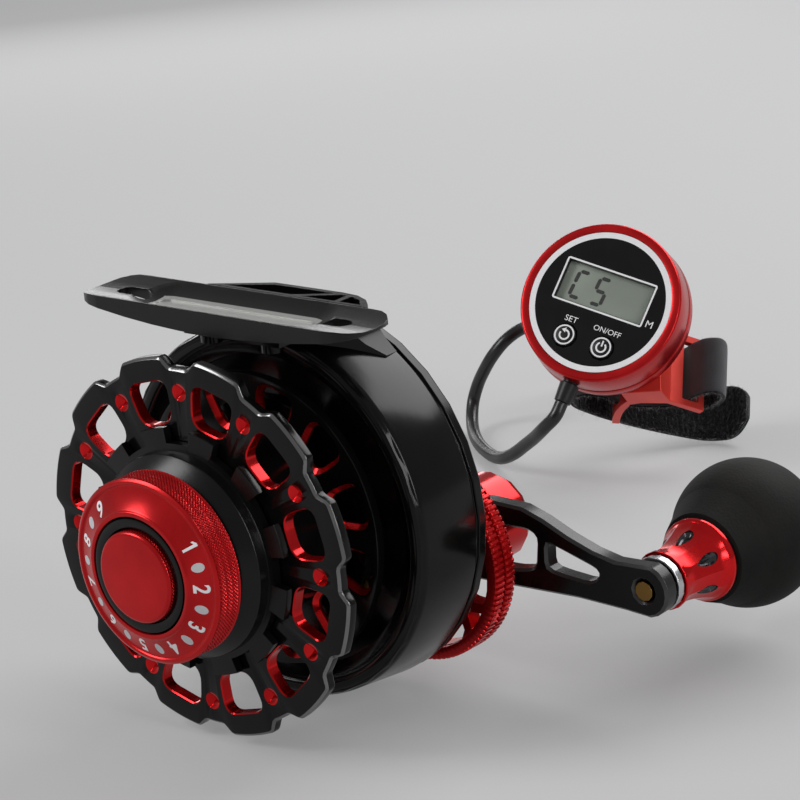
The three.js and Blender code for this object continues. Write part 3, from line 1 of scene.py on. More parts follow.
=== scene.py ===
"""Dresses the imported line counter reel: metal, foam, webbing and print on the reel, its counter and its cord."""
import json
import math
from functools import cache

import bmesh
import bpy
import numpy as np
from bpy.props import FloatProperty, FloatVectorProperty, IntProperty, PointerProperty, StringProperty
from mathutils import Matrix, Vector


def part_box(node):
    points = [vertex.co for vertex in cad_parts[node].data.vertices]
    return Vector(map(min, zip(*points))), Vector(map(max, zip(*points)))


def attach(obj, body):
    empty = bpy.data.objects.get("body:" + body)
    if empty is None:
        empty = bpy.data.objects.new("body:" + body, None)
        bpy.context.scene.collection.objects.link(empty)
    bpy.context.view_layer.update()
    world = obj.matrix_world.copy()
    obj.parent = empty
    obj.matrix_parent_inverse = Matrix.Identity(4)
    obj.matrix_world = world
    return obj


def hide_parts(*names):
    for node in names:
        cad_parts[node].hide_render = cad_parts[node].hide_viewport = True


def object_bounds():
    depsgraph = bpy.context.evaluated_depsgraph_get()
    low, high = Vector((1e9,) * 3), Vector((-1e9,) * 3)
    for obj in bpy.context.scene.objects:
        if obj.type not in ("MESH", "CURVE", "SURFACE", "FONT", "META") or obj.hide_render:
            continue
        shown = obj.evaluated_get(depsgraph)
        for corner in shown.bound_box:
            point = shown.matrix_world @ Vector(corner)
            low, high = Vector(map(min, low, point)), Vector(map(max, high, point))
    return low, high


bl_info = {
    "name": "Line Counter Reel",
    "version": (1, 0, 0),
    "blender": (4, 5, 0),
    "location": "View3D > Sidebar > Reel",
    "description": "Dresses a packed line counter reel with its finishes and its fine detail",
    "category": "Object",
}

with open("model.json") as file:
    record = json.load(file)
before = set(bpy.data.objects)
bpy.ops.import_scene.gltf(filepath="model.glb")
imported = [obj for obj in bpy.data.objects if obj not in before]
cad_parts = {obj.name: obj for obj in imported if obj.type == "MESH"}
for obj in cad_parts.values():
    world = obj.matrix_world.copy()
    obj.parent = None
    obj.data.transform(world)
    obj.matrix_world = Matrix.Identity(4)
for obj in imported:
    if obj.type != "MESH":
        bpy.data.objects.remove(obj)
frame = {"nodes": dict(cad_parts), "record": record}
CAD_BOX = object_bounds()
BODIES = frame["record"]["behaviour"]["bodies"]

MM = 0.001
TAU = 2 * math.pi
SEAT = np.array([0.0, -14.6, -37.5])  # spool centre, front face of the front flange, seen from the foot's seat
SHAFT = np.array([14.688, 0.0, -11.894])  # handle shaft, seen from the spool axis
CRANK = np.array([56.575, 0.0, -14.97])  # crank pin, seen from the spool axis
CAPITAL = 0.7  # share of the letters' size that a capital letter takes
SPOOL_LINE, SHAFT_LINE, CRANK_LINE = tuple(SEAT), tuple(SEAT + SHAFT), tuple(SEAT + CRANK)
WINDOW_COUNT = 12
WINDOW_CORNER = 2.6
DIP_ANGLES = [i * TAU / WINDOW_COUNT for i in range(WINDOW_COUNT)]
WINDOW_ANGLES = [(i + 0.5) * TAU / WINDOW_COUNT for i in range(WINDOW_COUNT)]
BUTTONS = ((-1, "button_set", "set_button"), (1, "button_power", "power_button"))  # side, node and body
BUTTON_PLACE = (4.25, -9.05)  # of a button's centre on the counter's face, to its side and up

# Counter head: place, and the directions of its right, its depth and its top
HEAD_PLACE = np.array([-16.85, 126.29, -34.08])
HEAD_AXES = np.array([[0.94791, 0.18377, -0.26019], [-0.30316, 0.77120, -0.55977], [0.09779, 0.60949, 0.78674]])
# Saddle bracket: place, and the directions along its wing, up its legs and across
SADDLE_PLACE = np.array([-7.3445, 132.3819, -55.488])
SADDLE_AXES = np.array([[0.44689, 0.77701, -0.44334], [-0.83359, 0.18181, -0.52161], [-0.32469, 0.60266, 0.72895]])

# Route of the cord from the gland to the sensor head, in millimetres from the spool's centre
CORD_ROUTE = np.array([
    [-20.84, 130.76, -16.22], [-21.3, 129.1, -18.5], [-24.2, 128.9, -21.4], [-28.4, 130.5, -24.8],
    [-32.3, 131.8, -27.6], [-36, 132.9, -30.2], [-39.9, 134.2, -32.2], [-44, 136.4, -33.4],
    [-48.6, 139.2, -33.8], [-53.6, 142.8, -33.8], [-58.8, 147.6, -33.4], [-62.6, 152, -32],
    [-64.2, 154.8, -29.2], [-63.2, 155.6, -25.4], [-60.6, 155.2, -21.4], [-57.8, 155.2, -17.6],
    [-55.4, 156.8, -14.4], [-53.7, 160.4, -12.6], [-52.8, 166, -12.8], [-53, 172.8, -15.2],
    [-54.2, 180, -19.8], [-55.8, 187, -25.4], [-58, 194, -30.4], [-60.6, 201.4, -33.4], [-63.4, 208.4, -33.8],
])
# Route of the strap in the saddle's frame: along the wing, up the legs
STRAP_ROUTE = np.array([
    [12.4, 3.4], [13.6, -0.8], [12.6, -4.6], [10.2, -6.1], [8.1, -4.4], [7.4, -1.2], [7.3, 2.2], [5.6, 6.4],
    [1.4, 9.6], [-2.8, 11.3], [-7.2, 10.6], [-11, 12], [-12.2, 15.3], [-10, 18.2], [-4.6, 19.3], [3, 19.3],
    [10.2, 18.5], [17, 17.2], [22.4, 15.4], [26, 11.4], [27, 7.2],
])


# Shader maths

def shader_maths(operation):
    """Method that puts a maths node after a shader value."""
    def method(self, *others):
        return self.nodes.node("ShaderNodeMath", {"operation": operation}, dict(enumerate((self, *others))))
    return method


class Value:
    """A shader socket with which sums, products and steps can be written."""
    __add__ = __radd__ = shader_maths("ADD")
    __mul__ = __rmul__ = shader_maths("MULTIPLY")
    __sub__ = shader_maths("SUBTRACT")
    __pow__ = shader_maths("POWER")
    sine = shader_maths("SINE")
    size = shader_maths("ABSOLUTE")
    above = shader_maths("GREATER_THAN")
    most = shader_maths("MAXIMUM")

    def __init__(self, nodes, socket):
        self.nodes = nodes
        self.socket = socket

    def __rsub__(self, other):
        return (self * -1.0) + other

    def between(self, low, high):
        """0 below low, 1 above high, and a soft ramp from one to the other."""
        return self.nodes.node("ShaderNodeMapRange", {"interpolation_type": "SMOOTHSTEP", "clamp": True},
                               {"Value": self, "From Min": low, "From Max": high})


class Nodes:
    """Node tree of a material or of the world."""

    def __init__(self, owner):
        owner.use_nodes = True
        self.tree = owner.node_tree
        self.tree.nodes.clear()

    def add(self, kind, settings, sockets):
        """New node with its settings, and then the values or links of its sockets."""
        made = self.tree.nodes.new(kind)
        for key, value in dict(settings).items():
            setattr(made, key, value)
        for key, value in dict(sockets).items():
            if isinstance(value, Value):
                self.tree.links.new(value.socket, made.inputs[key])
            else:
                made.inputs[key].default_value = value
        return made

    def node(self, kind, settings=(), sockets=(), output=0):
        """An output of a new node."""
        return Value(self, self.add(kind, settings, sockets).outputs[output])

    def outputs(self, value, names):
        """More outputs of the node that a value comes from."""
        return [Value(self, value.socket.node.outputs[name]) for name in names]


class Finish(Nodes):
    """One material and the nodes that it is made of."""

    def __init__(self, name, **constants):
        self.material = bpy.data.materials.new(name)
        super().__init__(self.material)
        sockets = {socket.replace("_", " "): value for socket, value in constants.items()}
        surface = self.node("ShaderNodeBsdfPrincipled", {}, sockets)
        self.shader = surface.socket.node
        self.add("ShaderNodeOutputMaterial", {}, {"Surface": surface})

    def place(self):
        """Place on the object."""
        return self.node("ShaderNodeTexCoord", output="Object")

    def parts(self, vector):
        return self.outputs(self.node("ShaderNodeSeparateXYZ", {}, {0: vector}), range(3))

    def noise(self, scale, detail=3.0, roughness=0.55, stretch=None):
        """Soft noise, at so many features to the metre, stretched along an axis where that is asked for."""
        place = self.place()
        if stretch is not None:
            place = self.node("ShaderNodeVectorMath", {"operation": "MULTIPLY"}, {0: place, 1: stretch})
        sockets = {"Vector": place, "Scale": scale, "Detail": detail, "Roughness": roughness}
        return self.node("ShaderNodeTexNoise", {}, sockets, "Fac")

    def mixed(self, factor, low, high):
        """Colour from low to high by a factor."""
        low, high = (colour if isinstance(colour, Value) else (*colour, 1.0) for colour in (low, high))
        return self.node("ShaderNodeMix", {"data_type": "RGBA"}, {0: factor, 6: low, 7: high}, 2)

    def feed(self, name, value):
        self.tree.links.new(value.socket, self.shader.inputs[name])

    def coat(self, factor, low, high, rough, *reliefs):
        """Gives the material a colour from low to high by a factor, a roughness, and reliefs one on top of the
        other: (height, distance in metres, strength). Returns the material."""
        self.feed("Base Color", self.mixed(factor, low, high))
        self.feed("Roughness", rough)
        below = {}
        for height, distance, strength in reliefs:
            sockets = {"Height": height, "Distance": distance, "Strength": strength, **below}
            below = {"Normal": self.node("ShaderNodeBump", {}, sockets)}
            self.feed("Normal", below["Normal"])
        return self.material

    def spin(self, centre):
        """Radius from an axis along Y through a centre, in metres."""
        x, _, z = self.parts(self.place())
        across, up = x - float(centre[0]) * MM, z - float(centre[2]) * MM
        return (across * across + up * up) ** 0.5


# Finishes: each is made once for its name and settings

# How metallic, specular level, colour, its shade, roughness and how much that varies
METALS = {
    "black": (0.0, 0.2, (0.0035, 0.0034, 0.0032), (0.002, 0.002, 0.002), 0.17, 0.05),
    "satin": (0.0, 0.24, (0.0045, 0.0045, 0.0045), (0.0025, 0.0025, 0.0025), 0.25, 0.07),
    "red": (0.66, 0.4, (0.56, 0.009, 0.011), (0.42, 0.005, 0.007), 0.25, 0.05),
    # Red of cut faces: smoother and more metallic than the turned red, and lighter in colour to lift shaded walls,
    # which is painted light
    "red_cut": (0.85, 0.5, (0.68, 0.012, 0.014), (0.5, 0.006, 0.008), 0.15, 0.04),
    # Bracket red, lightened all over to the tone of its lit faces: a painted highlight
    "salmon": (0.5, 0.5, (0.8, 0.075, 0.055), (0.66, 0.045, 0.034), 0.3, 0.07),
    # Bare metal of cut edges, made light grey to stand for edge highlights as well: a painted highlight
    "bare": (0.85, 0.5, (0.22, 0.22, 0.22), (0.14, 0.14, 0.14), 0.2, 0.05),
    "steel": (1.0, 0.5, (0.66, 0.66, 0.67), (0.48, 0.48, 0.5), 0.26, 0.1),
    "dark_steel": (0.85, 0.5, (0.075, 0.075, 0.08), (0.045, 0.045, 0.048), 0.2, 0.06),
    "brass": (1.0, 0.5, (0.30, 0.175, 0.05), (0.2, 0.11, 0.032), 0.36, 0.1),
}
TURNING = {"satin": (0.0003, 0.000002)}  # pitch and depth of turning lines, where they aren't the usual ones


@cache
def metal(kind, name, centre=None):
    """Cloudy colour and roughness, fine scratches, and turning lines round an axis where there is one."""
    metallic, specular, colour, shade, rough, spread = METALS[kind]
    finish = Finish(name, Metallic=metallic, Specular_IOR_Level=specular)
    cloud, fine = finish.noise(90.0, 4.0), finish.noise(1900.0, 3.0)
    reliefs = [(finish.noise(4200.0, 2.0), 0.0000016, 0.3)]
    if centre is not None:
        pitch, depth = TURNING.get(kind, (0.00022, 0.0000012))
        lines = (finish.spin(centre) * (TAU / pitch)).sine()
        reliefs.append((lines * finish.noise(700.0, 2.0), depth, 0.8))
    if kind == "salmon":
        reliefs.append((finish.noise(420.0, 2.0, 0.5, (0.2, 1.0, 6.0)), 0.000003, 0.3))
    roughness = cloud * spread + fine * (spread * 0.8) + (rough - 0.9 * spread)
    return finish.coat(cloud.between(0.25, 0.75), shade, colour, roughness, *reliefs)


CHANNEL = (0.0182, 0.0034, 0.0006)  # half the foot's channel each way, in metres


@cache
def foot_black(name):
    """Black foot whose shallow channel is milled bare: bright, and brushed along the foot, with a painted shade
    that darkens it across its width towards +Y.
    """
    finish = Finish(name, Specular_IOR_Level=0.3)
    x, y, z = finish.parts(finish.place())
    along, across, deep = (1 - part.size().above(half) for part, half in zip((x, y, z), CHANNEL))
    bare = deep * across * along
    brushed = finish.noise(2400.0, 4.0, 0.6, (0.03, 1.0, 1.0))
    cloud = finish.noise(90.0, 4.0)
    # Painted shade: the milled channel darkens across its width towards +Y
    shaded = (y * 260.0 + 0.5).between(0.0, 1.0)
    milled = finish.mixed(brushed * 0.4 + shaded * 0.4, (0.58, 0.58, 0.565), (0.29, 0.29, 0.28))
    black = finish.mixed(cloud, (0.003, 0.003, 0.003), (0.0065, 0.0065, 0.006))
    finish.feed("Metallic", bare * 0.6)
    return finish.coat(bare, black, milled, cloud * 0.08 + 0.22 + bare * (brushed * 0.2),
                       (brushed * bare, 0.00001, 0.5), (finish.noise(5200.0, 2.0), 0.000004, 0.35))


@cache
def edged_black(name):
    """Black arm whose cut edges and chamfers are polished: grey where the face turns away from the flat, and part
    grey on its sides. The grey also stands for the gloss reflections on these faces: a painted reflection.
    """
    finish = Finish(name, Specular_IOR_Level=0.2)
    _, across, _ = finish.parts(finish.node("ShaderNodeTexCoord", output="Normal"))
    # Painted reflection as well as polish: chamfers grey, sides part grey
    side = 1 - across.size().between(0.30, 0.42)
    polished = (1 - across.size().between(0.86, 0.96)) * (1 - side * 0.6)
    cloud = finish.noise(120.0, 3.0)
    finish.feed("Metallic", polished * 0.8)
    return finish.coat(polished, (0.0035, 0.0035, 0.0035), (0.07, 0.07, 0.07),
                       cloud * 0.1 + 0.17 + polished * 0.1, (finish.noise(5200.0, 2.0), 0.000004, 0.35))


@cache
def closed_foam(name):
    """Skinned closed-cell foam: dull black with cloudy rubbed patches and fine pores."""
    finish = Finish(name, Specular_IOR_Level=0.2)
    cloud = finish.noise(62.0, 5.0, 0.6)
    pores = finish.node("ShaderNodeTexVoronoi", {}, {"Vector": finish.place(), "Scale": 1700.0}, "Distance")
    return finish.coat(cloud.between(0.35, 0.75), (0.002, 0.002, 0.002), (0.009, 0.0082, 0.0068),
                       cloud * 0.16 + 0.62, (finish.noise(300.0, 5.0, 0.6), 0.0001, 0.35), (pores, 0.00006, 0.5))


@cache
def smooth_webbing(name):
    """Smooth side of the strap: close weave that runs with the strap, a little shiny."""
    finish = Finish(name, Specular_IOR_Level=0.35, Sheen_Weight=0.25, Sheen_Roughness=0.5)
    u, v, _ = finish.parts(finish.node("ShaderNodeUVMap"))
    weave = (u * (TAU * 330.0)).sine() * (v * (TAU * 34.0)).sine()
    cloud = finish.noise(160.0, 4.0)
    return finish.coat(cloud.between(0.3, 0.7), (0.014, 0.015, 0.018), (0.026, 0.027, 0.031),
                       cloud * 0.2 + 0.55, (weave, 0.00005, 0.6))


@cache
def loop_pile(name):
    """Loop side of the strap: matted fibre with pale lint on the tips."""
    finish = Finish(name, Specular_IOR_Level=0.2, Sheen_Weight=0.6, Sheen_Roughness=0.4)
    fibre, clumps = finish.noise(2600.0, 5.0, 0.75), finish.noise(620.0, 4.0, 0.65)
    tips = (fibre * clumps).between(0.26, 0.46)
    return finish.coat(tips, (0.004, 0.004, 0.0045), (0.03, 0.03, 0.033), 0.98 - tips * 0.1,
                       (fibre, 0.0003, 0.9), (clumps, 0.0005, 0.6))


@cache
def pile_fibre(name, dark, light):
    """Loose nylon fibre: dull, some of it paler."""
    finish = Finish(name, Specular_IOR_Level=0.3)
    return finish.coat(finish.noise(1500.0, 3.0, 0.7).between(0.48, 0.62), dark, light,
                       finish.noise(300.0) * 0.2 + 0.6)


@cache
def cord_sheath(name):
    """Sheath of the cord: smooth black plastic with faint drawing lines along it."""
    finish = Finish(name, Specular_IOR_Level=0.5)
    _, v, _ = finish.parts(finish.node("ShaderNodeUVMap"))
    cloud = finish.noise(240.0, 3.0)
    return finish.coat(cloud, (0.004, 0.004, 0.0045), (0.009, 0.009, 0.010), cloud * 0.12 + 0.26,
                       ((v * (TAU * 16.0)).sine(), 0.000004, 0.5), (finish.noise(1500.0, 2.0), 0.00001, 0.4))


@cache
def moulded_plastic(name, colour, rough, grain):
    """Plain plastic with a fine grain."""
    finish = Finish(name, Specular_IOR_Level=0.3)
    cloud = finish.noise(260.0, 4.0)
    return finish.coat(cloud, tuple(0.7 * c for c in colour), colour, cloud * 0.12 + (rough - 0.06),
                       (finish.noise(3600.0, 2.0), grain, 0.5))


@cache
def white_print(name, colour=(0.82, 0.82, 0.84)):
    """Screen print: thin matt ink with a faint mesh in it."""
    finish = Finish(name, Specular_IOR_Level=0.3)
    cloud = finish.noise(900.0, 3.0)
    return finish.coat(cloud, tuple(0.88 * c for c in colour), colour, cloud * 0.15 + 0.45,
                       (finish.noise(6000.0, 1.0), 0.000004, 0.4))


@cache
def display_grey(name):
    """Reflector of the display: cloudy grey-green."""
    finish = Finish(name, Specular_IOR_Level=0.4)
    grain = finish.noise(5200.0, 1.0)
    return finish.coat(finish.noise(70.0, 2.0).between(0.3, 0.7), (0.215, 0.25, 0.21), (0.3, 0.345, 0.285),
                       grain * 0.1 + 0.35, (grain, 0.000003, 0.4))


@cache
def clear_pane(name):
    """Clear window over the display."""
    finish = Finish(name, Specular_IOR_Level=0.5, Alpha=0.05)
    smear = finish.noise(120.0, 3.0)
    return finish.coat(smear, (0.3, 0.31, 0.3), (0.4, 0.41, 0.4), smear * 0.08 + 0.03, (smear, 0.000004, 0.3))


@cache
def circuit_board(name):
    """Green board with a fine grain."""
    finish = Finish(name)
    grain = finish.noise(800.0, 3.0)
    return finish.coat(grain, (0.015, 0.09, 0.035), (0.03, 0.15, 0.06), grain * 0.2 + 0.4, (grain, 0.00002, 0.5))


@cache
def washer_felt(name):
    """Woven carbon drag washer."""
    finish = Finish(name)
    x, _, z = finish.parts(finish.place())
    weave = ((x + z) * 5200.0).sine() * ((x - z) * 5200.0).sine()
    return finish.coat(weave.between(-0.5, 0.5), (0.02, 0.02, 0.021), (0.06, 0.06, 0.062),
                       weave * 0.1 + 0.55, (weave, 0.00003, 0.5))


# Meshes

def reel_point(points):
    """Spool millimetres to metres in the reel's frame."""
    return (np.asarray(points, float) + SEAT) * MM


def head_point(points):
    """Counter head millimetres (right, deep, up) to metres in the reel's frame."""
    return (HEAD_PLACE + np.asarray(points, float) @ HEAD_AXES) * MM


def saddle_point(points):
    """Saddle millimetres (along the wing, up the legs, across) to metres in the reel's frame."""
    return (SADDLE_PLACE + np.asarray(points, float) @ SADDLE_AXES) * MM


def unit(vectors, least=0.0):
    """Vectors of length one."""
    return vectors / (np.linalg.norm(vectors, axis=-1, keepdims=True) + least)


def placed(name, data):
    """New object in the scene."""
    made = bpy.data.objects.new(name, data)
    bpy.context.scene.collection.objects.link(made)
    return made


def evaluated_mesh(holder):
    """Mesh that an object shows, with its modifiers."""
    return bpy.data.meshes.new_from_object(holder.evaluated_get(bpy.context.evaluated_depsgraph_get()))


def of_faces(mesh, what, width=3, kind=np.float32):
    """A property of a mesh's faces, as an array."""
    values = np.zeros(len(mesh.polygons) * width, dtype=kind)
    mesh.polygons.foreach_get(what, values)
    return values.reshape(-1, width) if width > 1 else values


def new_piece(name, mesh, finishes, body):
    """Puts a mesh in the scene as a piece that rides on a body."""
    piece = placed(name, mesh)
    finishes = finishes if isinstance(finishes, list) else [finishes]
    places = of_faces(mesh, "material_index", 1, np.int32)
    mesh.materials.clear()
    for finish in finishes:
        mesh.materials.append(finish)
    mesh.polygons.foreach_set("material_index", np.minimum(places, len(finishes) - 1))
    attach(piece, body)
    return piece


def cleaned(source, mesh, merge=1e-7, whole=False):
    """Writes a mesh from its source with doubles merged and empty faces dropped, and either with its flat faces
    whole or with its faces turned out."""
    work = bmesh.new()
    work.from_mesh(source)
    bmesh.ops.remove_doubles(work, verts=work.verts, dist=merge)
    bmesh.ops.dissolve_degenerate(work, edges=work.edges, dist=merge)
    if whole:
        bmesh.ops.dissolve_limit(work, angle_limit=math.radians(1.2), verts=work.verts, edges=work.edges)
    else:
        bmesh.ops.recalc_face_normals(work, faces=work.faces)
    work.to_mesh(mesh)
    work.free()
    return mesh


def merged(node):
    """Copy of a CAD piece's mesh."""
    return cleaned(frame["nodes"][node].data, bpy.data.meshes.new(node + "_piece"), 2e-6, True)


def mesh_of(name, points, faces, uvs=None):
    """Mesh from points in metres and faces."""
    mesh = bpy.data.meshes.new(name)
    mesh.from_pydata(np.asarray(points).tolist(), [], faces)
    if uvs is not None:
        corners = np.zeros(len(mesh.loops), dtype=np.int32)
        mesh.loops.foreach_get("vertex_index", corners)
        layer = mesh.uv_layers.new(name="UVMap")
        layer.data.foreach_set("uv", np.asarray(uvs, dtype=np.float32)[corners].ravel())
    return cleaned(mesh, mesh)


def smooth(mesh, degrees):
    """Smooth shading that breaks at edges sharper than an angle."""
    mesh.polygons.foreach_set("use_smooth", np.ones(len(mesh.polygons), dtype=bool))
    mesh.set_sharp_from_angle(angle=math.radians(degrees))
    return mesh


def grid_faces(rows, columns, capped=False):
    """Quads of a grid of rows by columns that closes round its columns. Its rows close round too, or else a face
    caps either end."""
    i, j = np.meshgrid(np.arange(rows - capped), np.arange(columns), indexing="ij")
    near, far, after = i * columns, (i + 1) % rows * columns, (j + 1) % columns
    faces = np.stack([near + j, far + j, far + after, near + after], -1).reshape(-1, 4).tolist()
    if capped:
        faces += [list(range(columns)), list(range((rows - 1) * columns, rows * columns))[::-1]]
    return faces


def softened(corners, radius=0.2, steps=3, closed=True, share=0.4):
    """Outline with each corner replaced by a quadratic arc that starts and ends a radius from the corner, or a
    share of the shorter side where that is less. Corners on the axis stay."""
    corners = np.asarray(corners, float)
    before, after = np.roll(corners, 1, 0) - corners, np.roll(corners, -1, 0) - corners
    lengths = np.linalg.norm(before, axis=1), np.linalg.norm(after, axis=1)
    cut = np.minimum(radius, share * np.minimum(*lengths))[:, None]
    start = corners + before / lengths[0][:, None] * cut
    end = corners + after / lengths[1][:, None] * cut
    t = np.linspace(0, 1, steps)[None, :, None]
    arcs = (1 - t) ** 2 * start[:, None] + 2 * t * (1 - t) * corners[:, None] + t ** 2 * end[:, None]
    if not closed:
        arcs[0], arcs[-1] = corners[0], corners[-1]
    on_axis = np.abs(corners[:, 0]) < 1e-9
    arcs[on_axis] = corners[on_axis][:, None]
    return arcs.reshape(-1, 2)


def turned(name, profile, segments=192, radius_at=None, centre=(0, 0, 0), to=reel_point, edge=0.2, angle=32.0):
    """Mesh turned about an axis along Y: (r cos a, y, r sin a) for each point (r, y) of a profile with softened
    edges and each angle a. radius_at(a, r, y) may change the radius round the turn."""
    line = softened(profile, edge) if edge else np.asarray(profile, float)
    angles = (np.arange(segments) * TAU / segments)[:, None]
    r, y = line.T
    radii = np.broadcast_to(r, (segments, len(r)))
    if radius_at is not None:
        radii = radius_at(angles, radii, y[None, :])
    points = np.stack([radii * np.cos(angles), np.broadcast_to(y, radii.shape), radii * np.sin(angles)], -1)
    points = to((points + np.asarray(centre, float)).reshape(-1, 3))
    return smooth(mesh_of(name, points, grid_faces(segments, len(line))), angle)


def rod(name, radius, front, rear, segments=256, centre=(0, 0, 0)):
    """Rod along Y, to cut with."""
    return turned(name, [(0, front), (radius, front), (radius, rear), (0, rear)], segments, centre=centre, edge=0)


def loops_of(outline, levels):
    """Copies of a closed outline, one to each (depth, margin) pair, grown by the margin along its own normals."""
    outline = np.asarray(outline, float)
    along = unit(np.roll(outline, -1, 0) - np.roll(outline, 1, 0))
    area = np.sum(outline[:, 0] * np.roll(outline[:, 1], -1) - np.roll(outline[:, 0], -1) * outline[:, 1])
    out = np.stack([along[:, 1], -along[:, 0]], -1) * math.copysign(1, area)
    return [np.insert(outline + out * margin, 1, depth, axis=1) for depth, margin in levels]


def prism(name, outline, levels, to=reel_point):
    """Prism whose outline grows by a margin at each level, closed by a face at both ends."""
    rings = loops_of(outline, levels)
    return mesh_of(name, to(np.concatenate(rings)), grid_faces(len(rings), len(outline), True))


def outline_band(name, outline, low, high, front, rear):
    """Flat band on the counter head along a closed outline, from one margin to another, with a thickness."""
    loops = loops_of(outline, [(front, low), (front, high), (rear, high), (rear, low)])
    return mesh_of(name, head_point(np.stack(loops, 1).reshape(-1, 3)), grid_faces(len(outline), 4))


def joined(name, meshes):
    """One mesh of several."""
    work = bmesh.new()
    for mesh in meshes:
        work.from_mesh(mesh)
        bpy.data.meshes.remove(mesh)
    made = bpy.data.meshes.new(name)
    work.to_mesh(made)
    work.free()
    return made


def carved(mesh, tool, finish=None, operation="DIFFERENCE"):
    """Mesh with a tool's shape cut out of it. The cut faces take the tool's finish where it has one.
    The uncut mesh keeps its name, so that a piece that is carved ends in .001."""
    body, cutter = placed("carving", mesh), placed("carving_tool", tool)
    if finish is not None:
        tool.materials.clear()
        tool.materials.append(finish)
    modifier = body.modifiers.new("carve", "BOOLEAN")
    modifier.operation = operation
    modifier.solver = "EXACT"
    modifier.object = cutter
    modifier.material_mode = "TRANSFER" if finish is not None else "INDEX"
    done = evaluated_mesh(body)
    for made in (body, cutter):
        bpy.data.objects.remove(made)
    bpy.data.meshes.remove(tool)
    return done


def dressed(node, mesh, finish, bevel=0.0, degrees=32.0, name=None):
    """Lets a mesh stand for a CAD piece, with rounded edges that take the last finish of a list of them."""
    mesh.name = name or node + "_piece"
    piece = new_piece(mesh.name, smooth(mesh, degrees), finish, body_of(node))
    if bevel:
        modifier = piece.modifiers.new("edges", "BEVEL")
        modifier.width = bevel * MM
        modifier.segments = 2
        modifier.limit_method = "ANGLE"
        modifier.angle_limit = math.radians(degrees)
        if isinstance(finish, list):
            modifier.material = len(finish) - 1
        piece.modifiers.new("flat_faces", "WEIGHTED_NORMAL").keep_sharp = True
    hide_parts(node)
    return piece


def body_of(node):
    """Name of the body that a node belongs to."""
    return next(body for body, nodes in BODIES.items() if node in nodes)


def finished_copies(*rows):
    """Dresses CAD pieces in their own shape, with softly rounded edges and smooth turned sides. A row has the
    pieces' names, their finish, the rounding and the sharpest angle that is shaded smooth. Returns the last
    piece."""
    for nodes, finish, bevel, *degrees in rows:
        for node in nodes.split():
            piece = dressed(node, merged(node), finish, bevel, *degrees or [33.0])
    return piece


def lettering(name, text, height, place, to, body, finish, width, depth, bold=0.0):
    """Letters of a height, centred on a place of a face, raised by a depth and carried there by `to`.
    place gives (right, up) on the face, and to(points) takes (right, depth, up)."""
    letters = bpy.data.curves.new(name, "FONT")
    letters.body = text
    letters.align_x = letters.align_y = "CENTER"
    letters.size = height / CAPITAL
    letters.extrude = depth / 2
    letters.resolution_u = 4
    letters.offset = bold * height
    holder = placed(name, letters)
    flat = evaluated_mesh(holder)
    bpy.data.objects.remove(holder)
    points = np.zeros(len(flat.vertices) * 3, dtype=np.float32)
    flat.vertices.foreach_get("co", points)
    points = points.reshape(-1, 3).astype(float) * (width, 1, 1)
    points -= (points.max(0) + points.min(0)) / 2
    moved = to(np.stack([points[:, 0] + place[0], -points[:, 2], points[:, 1] + place[1]], -1))
    flat.vertices.foreach_set("co", np.asarray(moved, dtype=np.float32).ravel())
    return new_piece(name, cleaned(flat, flat), finish, body)


def ring_outline(radius, count, centre=(0.0, 0.0), start=0.0, end=TAU):
    """Points (cx + r cos a, cy + r sin a) of a circle or of an arc of it."""
    a = np.linspace(start, end, count, endpoint=end - start < TAU - 1e-6)
    return np.stack([centre[0] + radius * np.cos(a), centre[1] + radius * np.sin(a)], -1)


def arc_outline(inner, outer, count, start, end, centre=(0.0, 0.0)):
    """Outline of a part of a ring between two radii and two angles in radians, first along one of its sides."""
    return np.concatenate([ring_outline(inner, count, centre, start, end),
                           ring_outline(outer, count, centre, start, end)[::-1]])


def windows(levels, inner, outer, width, taper):
    """Rounded windows round the spool between two radii: so wide at the outer one, and drawn in by the taper at
    either side of the inner one."""
    corners = [(inner, width / 2 - taper), (inner, taper - width / 2), (outer, -width / 2), (outer, width / 2)]
    x, y = softened(corners, WINDOW_CORNER, 7, share=0.48).T
    made = []
    for i, a in enumerate(WINDOW_ANGLES):
        c, s = math.cos(a), math.sin(a)
        made.append(prism(f"window_{i}", np.stack([c * x - s * y, s * x + c * y], -1), levels))
    return made


def polygon_share(a, r, sides):
    """Radius at an angle of the polygon inside a circle."""
    pitch = TAU / sides
    return r * math.cos(pitch / 2) / np.cos(np.mod(a, pitch) - pitch / 2)


def notch(a, count, shift, wide, slope):
    """1 in the middle of each of so many notches round a turn and 0 between them. A notch ends `wide` of the pitch
    from its middle, with sides that run smoothly over `slope` of it."""
    off = np.abs(np.mod(a * count / TAU + shift, 1) - 0.5)
    share = np.clip((wide - off) / slope, 0, 1)
    return share ** 2 * (3 - 2 * share)


# Sizes and colours that a user may change

def length_of(name, text, default, least, most):
    return FloatProperty(name=name, description=text + ", in millimetres", default=default, min=least, max=most)


class ReelSizes(bpy.types.PropertyGroup):
    """Sizes of the reel's fine detail."""
    knurl_count: IntProperty(name="Knurls", description="Knurl points round the dial", default=150, min=24)
    knurl_depth: length_of("Knurl depth", "Depth of the dial's knurl", 0.24, 0.0, 0.6)
    window_chamfer: length_of("Window chamfer", "Chamfer of the flange windows", 0.2, 0.1, 0.9)
    digit_height: length_of("Digit height", "Height of the dial's digits", 2.9, 1.0, 3.6)
    edge: length_of("Edge", "Rounding of machined edges", 0.14, 0.02, 0.5)
    print_height: length_of("Print", "Thickness of printed ink", 0.03, 0.01, 0.1)
    pile_height: length_of("Pile", "Height of the strap's loops", 0.45, 0.1, 1.0)
    display_text: StringProperty(name="Display", description="Digits on the display", default="C5")


